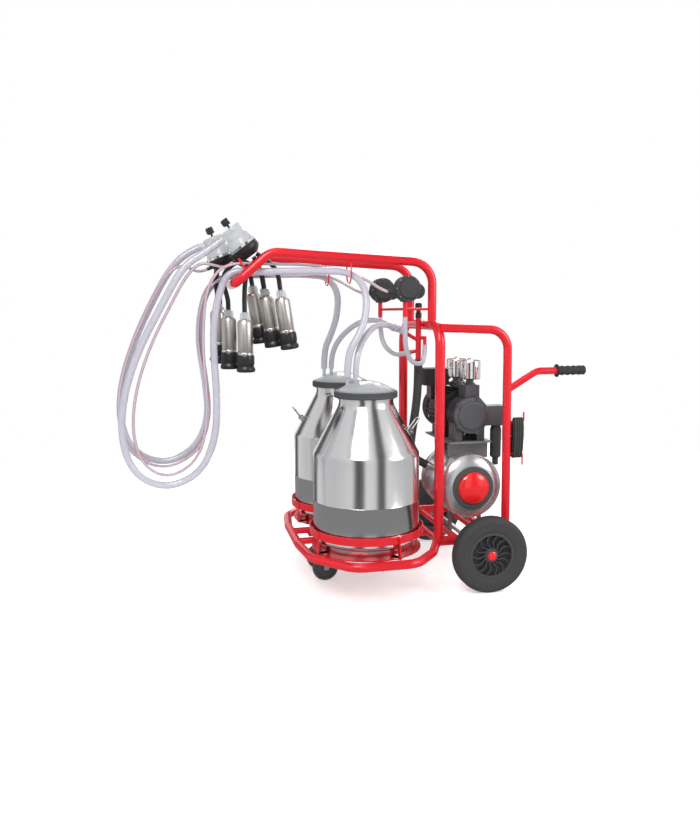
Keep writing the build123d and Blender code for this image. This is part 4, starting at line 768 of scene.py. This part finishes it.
class SmoothLine:
    """A NURBS line through space with a route's points as its control points."""

    def __init__(self, route: list[Point], resolution: int = 14) -> None:
        """Reads the spline's own points.

        Args:
            route: control points in millimetres.
            resolution: points for each stretch.
        """
        curve = bpy.data.curves.new("route", "CURVE")
        curve.dimensions = "3D"
        spline = curve.splines.new("NURBS")
        spline.points.add(len(route) - 1)
        for point, corner in zip(spline.points, route):
            point.co = (*place(*corner), 1)
        spline.order_u = 3
        spline.use_endpoint_u = True
        spline.resolution_u = resolution
        holder = bpy.data.objects.new("route", curve)
        bpy.context.scene.collection.objects.link(holder)
        bpy.context.view_layer.update()
        mesh = bpy.data.meshes.new_from_object(holder.evaluated_get(bpy.context.evaluated_depsgraph_get()))
        self.points = [vertex.co.copy() for vertex in mesh.vertices]
        bpy.data.objects.remove(holder)
        bpy.data.meshes.remove(mesh)

    @property
    def length(self) -> float:
        """The line's length in metres."""
        return sum((b - a).length for a, b in zip(self.points, self.points[1:]))


# Hose routes, in millimetres from the buckets' centre line
NEAR_MILK = [(-582, -66, 1108), (-652, -70, 985), (-727, -74, 850), (-783, -76, 705),
             (-803, -77, 560), (-770, -76, 425), (-665, -75, 366), (-548, -75, 412), (-492, -75, 530),
             (-484, -75, 680), (-492, -78, 820), (-488, -82, 930), (-466, -86, 1030), (-432, -91, 1092),
             (-350, -98, 1088), (-250, -112, 1090), (-140, -128, 1092), (-30, -137, 1088), (14, -152, 1036),
             (12, -176, 955), (-18, -202, 880), (-62, -204.4, 820), (-62, -BUCKET_Y, 740)]
FAR_MILK = [(-625, 64, 1105), (-685, 66, 1000), (-750, 68, 868), (-800, 68, 725),
            (-815, 68, 595), (-780, 68, 478), (-672, 68, 424), (-562, 68, 470), (-508, 68, 580),
            (-516, 68, 715), (-536, 68, 850), (-526, 67, 960), (-496, 67, 1048), (-425, 66, 1086),
            (-330, 67, 1085), (-225, 92, 1092), (-128, 120, 1090), (-62, 132, 1084), (-16, 148, 1030),
            (-14, 182, 940), (-34, 204, 870), (-62, 204.4, 812), (-62, BUCKET_Y, 740)]
NEAR_PULSE = [(-482, -57, 1112), (-526, -54, 1120), (-570, -54, 1080), (-620, -60, 992),
              (-692, -69, 858), (-745, -72, 715), (-766, -73, 575), (-742, -73, 458), (-664, -72, 402),
              (-572, -72, 440), (-525, -71, 535), (-517, -70, 680), (-526, -70, 826), (-521, -76, 945),
              (-504, -84, 1050), (-445, -92, 1118), (-310, -97, 1114), (-170, -105, 1114), (-40, -113, 1094),
              (34, -122, 1058), (70, -137, 1030), (94, -140, 1022)]
FAR_PULSE = [(-562, 46, 1112), (-606, 34, 1112), (-648, 32, 1066), (-696, 36, 986),
             (-756, 42, 862), (-804, 42, 725), (-818, 42, 596), (-784, 42, 470), (-674, 42, 408),
             (-556, 42, 458), (-504, 42, 572), (-516, 42, 715), (-540, 36, 850), (-532, 22, 960),
             (-500, 12, 1044), (-424, 12, 1089), (-330, 16, 1082), (-215, 68, 1080), (-80, 111, 1094),
             (-10, 98, 1062), (34, 66, 1030), (60, 60, 1022)]
NEAR_LID = [(-34, -BUCKET_Y, 740), (-34, -BUCKET_Y, 785), (-12, -178, 846), (38, -142, 904),
            (96, -104, 914), (134, -84, 900)]
FAR_LID = [(-34, BUCKET_Y, 740), (-34, BUCKET_Y, 792), (-8, 170, 860), (50, 112, 918),
           (100, 40, 928), (126, -18, 912), (136, -48, 899)]
NEAR_LOOP = [(156, -140, 936), (156, -140, 888), (158, -138, 832), (180, -126, 784), (222, -104, 768),
             (246, -84, 790), (246, -84, 838)]
FAR_LOOP = [(122, 60, 936), (122, 60, 888), (130, 44, 832), (160, 8, 800), (190, -28, 803), (208, -46, 812)]
TANK_HOSE = [(230, -60, 785), (230, -60, 700), (222, -60, 610), (206, -60, 515), (198.7, -60, 431.9),
             (262, -60, 402)]
LEAD = [(410, 104, 706), (440, 104, 706), (480, 92, 672), (520, 58, 616), (546, -2, 570), (556, -72, 552),
        (542, -140, 556)]


def claw_exit(origin: Point, axis: Point, across: float, along: float, lead: float) -> list[Point]:
    """The end of a claw's nipple, and the next point straight out from it."""
    up = Vector(axis).normalized()
    side = up.cross(Vector((0, 1, 0))).normalized()
    return [tuple(Vector(origin) + side * reach + up * along) for reach in (across, across + lead)]


@dataclass
class Hoses:
    """Milk hoses, twin pulse tubes, lid hoses, loops and the tank hose."""
    make: Builder
    stripe: float = 0.22        # the red line's radius as a share of the tube's half width

    def hose(self, name: str, route: list[Point], diameter: float, look: Look, node: str,
             blend: tuple[str, Vector, Vector] | None = None, twin: bool = False) -> None:
        """One hose, swept along its route.

        Args:
            name: the piece's name.
            route: control points in millimetres.
            diameter: the hose's outside, or a twin tube's width, in millimetres.
            look: its finish.
            node: the CAD node that it replaces.
            blend: a lid's body, and where the bend starts and ends; these are not used, and a given blend only leaves
                the hose unattached with its placement baked in.
            twin: whether it is two tubes side by side, with a stripe.
        """
        line = SmoothLine(route)
        shape = Shape()
        radius = diameter / 2000
        if twin:
            shape.sweep(line.points, circle(radius / 2, (-radius / 2, 0), 14))
            shape.sweep(line.points, circle(radius / 2, (radius / 2, 0), 14))
            shape.sweep(line.points, circle(radius * self.stripe, (0, -radius * 0.36), 8), kind=1)
            shape.sweep(line.points, circle(radius * self.stripe, (0, radius * 0.36), 8), kind=1)
        else:
            shape.sweep(line.points, circle(radius, sides=26))
        looks = [look, Look.STRIPE] if twin else [look]
        piece = self.make.piece(name, shape, looks, "" if blend else "frame", (node,), crease=60)
        if blend:
            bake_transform(piece)
        line.length

    def build(self) -> None:
        """Builds every hose on its route."""
        near, far = ((-358, -60, 1142), (-0.602, 0, 0.798)), ((-434, 60, 1109), (-0.378, 0, 0.926))
        lean = Vector((0.124, 0, -0.0975))
        for name, claw, milk, pulse, y in (("near", near, NEAR_MILK, NEAR_PULSE, -150),
                                           ("far", far, FAR_MILK, FAR_PULSE, 150)):
            start = place(-24, y, 1050)
            self.hose(name + "_milk_hose", claw_exit(*claw, 51.5, 98, 50) + milk, 24.0, Look.HOSE, "milk_hoses",
                      (name + "_lid", start, start + lean))
            self.hose(name + "_pulse_tube", claw_exit(*claw, 62, 20, 32) + pulse, 17.0, Look.HOSE,
                      "pulse_tubes", twin=True)
        for name, route in (("near", NEAR_LID), ("far", FAR_LID)):
            bend = (name + "_lid", place(*route[-2]), place(*route[0]))
            self.hose(name + "_lid_hose", route, 20.0, Look.HOSE, "lid_hoses", bend)
        self.hose("near_loop_hose", NEAR_LOOP, 17.0, Look.HOSE, "pulsator_hoses")
        self.hose("far_loop_hose", FAR_LOOP, 17.0, Look.HOSE, "pulsator_hoses")
        self.hose("tank_hose_skin", TANK_HOSE, 30.0, Look.BLACK_HOSE, "tank_hose")


@dataclass
class MainsLead:
    """The mains lead and its winding round the rear post's prongs."""
    make: Builder
    diameter: float = 8.0
    turns: int = 4
    pitch: float = 8.6

    def winding(self) -> list[Point]:
        """Control points of the turns: an inner layer out along the prongs and an outer layer back."""
        points = []
        steps = 16
        for layer, width, reach in ((0, 10.0, 61.0), (1, 18.5, 69.5)):
            for step in range(self.turns * steps):
                turn = 2 * math.pi * step / steps
                done = self.pitch * step / steps
                x = 527 + done if layer == 0 else 527 + self.pitch * self.turns - done
                wide, tall = math.cos(turn), math.sin(turn)
                y = -ARCH_Y + width * math.copysign(abs(wide) ** 0.7, wide)
                points.append((x, y, 513.5 + reach * math.copysign(abs(tall) ** 0.85, tall)))
        return points

    def build(self) -> None:
        """Builds the lead as one cord, plug end last."""
        line = SmoothLine(LEAD + self.winding() + [(541, -190, 500), (541, -180, 512)], 6)
        shape = Shape().sweep(line.points, circle(self.diameter / 2000, sides=14))
        piece = self.make.piece("mains_cable", shape, [Look.LEAD], "frame", ("mains_lead", "lead_winding"), crease=60)
        line.length


class Studio:
    """Pale floor, soft lights and the camera."""
    mirrored_floor: float = 0.30    # how bright the floor is in what polished steel mirrors
    # brightness round the room from left to right: tall soft boxes with dark gaps for the steel to mirror
    bands: tuple[tuple[float, float], ...] = ((0.0, 0.75), (0.16, 0.95), (0.22, 0.10), (0.33, 0.12), (0.38, 1.0),
                                              (0.55, 0.9), (0.61, 0.14), (0.70, 0.10), (0.76, 1.0), (1.0, 0.7))
    floor_glow: float = 0.42
    floor_reach: float = 2.6

    def mute(self, tree: bpy.types.NodeTree) -> None:
        """Makes the floor a middle grey to glossy rays, so that the cans don't burn out.

        Args:
            tree: the floor material's node tree.
        """
        level = self.mirrored_floor
        grey = tree.nodes.new("ShaderNodeEmission")
        grey.inputs["Color"].default_value = (level, level, level, 1)
        path = tree.nodes.new("ShaderNodeLightPath")
        mix = tree.nodes.new("ShaderNodeMixShader")
        tree.links.new(path.outputs["Is Glossy Ray"], mix.inputs[0])
        tree.links.new(tree.nodes["Principled BSDF"].outputs[0], mix.inputs[1])
        tree.links.new(grey.outputs[0], mix.inputs[2])
        tree.links.new(mix.outputs[0], tree.nodes["Material Output"].inputs["Surface"])

    def surround(self, tree: bpy.types.NodeTree) -> None:
        """White behind the machine, and tall bright and dark bands in what its surfaces mirror.

        Args:
            tree: the world's node tree.
        """
        background = tree.nodes["Background"]
        background.inputs["Strength"].default_value = 1.0
        coordinates = tree.nodes.new("ShaderNodeTexCoord")
        split = tree.nodes.new("ShaderNodeSeparateXYZ")
        tree.links.new(coordinates.outputs["Generated"], split.inputs[0])
        ramp = tree.nodes.new("ShaderNodeValToRGB")
        elements = ramp.color_ramp.elements
        while len(elements) < len(self.bands):
            elements.new(1.0)
        for element, (spot, level) in zip(elements, self.bands):
            element.position = spot
            element.color = (level, level, level, 1)
        across = Socket(tree, split.outputs["X"]) * 0.5 + 0.5
        tree.links.new(across.socket, ramp.inputs[0])
        path = tree.nodes.new("ShaderNodeLightPath")
        mix = tree.nodes.new("ShaderNodeMix")
        mix.data_type = "RGBA"
        mix.inputs[7].default_value = (1, 1, 1, 1)
        tree.links.new(path.outputs["Is Camera Ray"], mix.inputs[0])
        tree.links.new(ramp.outputs[0], mix.inputs[6])
        tree.links.new(mix.outputs[2], background.inputs["Color"])

    def build(self) -> None:
        """Makes the stage."""
        reach = self.floor_reach
        floor_mesh = bpy.data.meshes.new("floor")
        floor_mesh.from_pydata([(x * reach, y * reach, 0) for x, y in ((-1, -1), (1, -1), (1, 1), (-1, 1))], [], [(0, 1, 2, 3)])
        floor = bpy.data.objects.new("floor", floor_mesh)
        bpy.context.scene.collection.objects.link(floor)
        pale = Finish("pale_floor", "", (0.93, 0.93, 0.93), 0.6, vary=0.0, wear=0.02)
        surface = pale.build()
        shine = surface.node_tree.nodes["Principled BSDF"].inputs
        shine["Emission Color"].default_value = (1, 1, 1, 1)
        shine["Emission Strength"].default_value = self.floor_glow
        self.mute(surface.node_tree)
        floor_mesh.materials.append(surface)
        world = bpy.data.worlds.new("studio")
        bpy.context.scene.world = world
        world.use_nodes = True
        self.surround(world.node_tree)
        bpy.context.scene.view_settings.view_transform = "Standard"
        for name, spot, size, power in (("key", (-1.6, -2.6, 3.2), 1.6, 95), ("fill", (2.6, -2.0, 1.8), 1.4, 42),
                                        ("rim", (1.0, 2.6, 2.6), 1.6, 60)):
            light = bpy.data.lights.new(name, "AREA")
            light.size = size
            light.energy = power
            lamp = bpy.data.objects.new(name, light)
            lamp.location = spot
            lamp.rotation_euler = (Vector((0, 0, 0.6)) - Vector(spot)).to_track_quat("-Z", "Y").to_euler()
            bpy.context.scene.collection.objects.link(lamp)
        data = bpy.data.cameras.new("camera")
        data.lens = 33.27
        data.sensor_width = 36.0
        camera = bpy.data.objects.new("camera", data)
        camera.location = place(-617.4, -2682.5, 952.4)
        turn = Euler((math.radians(82.4), 0, math.radians(-12.8))).to_matrix()
        camera.rotation_euler = (turn @ Matrix.Rotation(math.radians(-0.36), 3, "Z")).to_euler()
        bpy.context.scene.collection.objects.link(camera)
        bpy.context.scene.camera = camera


def main() -> None:
    """Builds the whole machine in order."""
    logging.basicConfig(level=logging.INFO, format="%(message)s")
    Studio().build()
    make, array = Builder(), RingArray()
    Hoses(make).build()
    MainsLead(make).build()
    Trolley(make).build()
    Buckets(make).build()
    Wheels(make, array).build()
    Plant(make, array).build()
    Clusters(make).build()
    LOG.info("%d pieces", make.count)


if __name__ == "__main__":
    main()
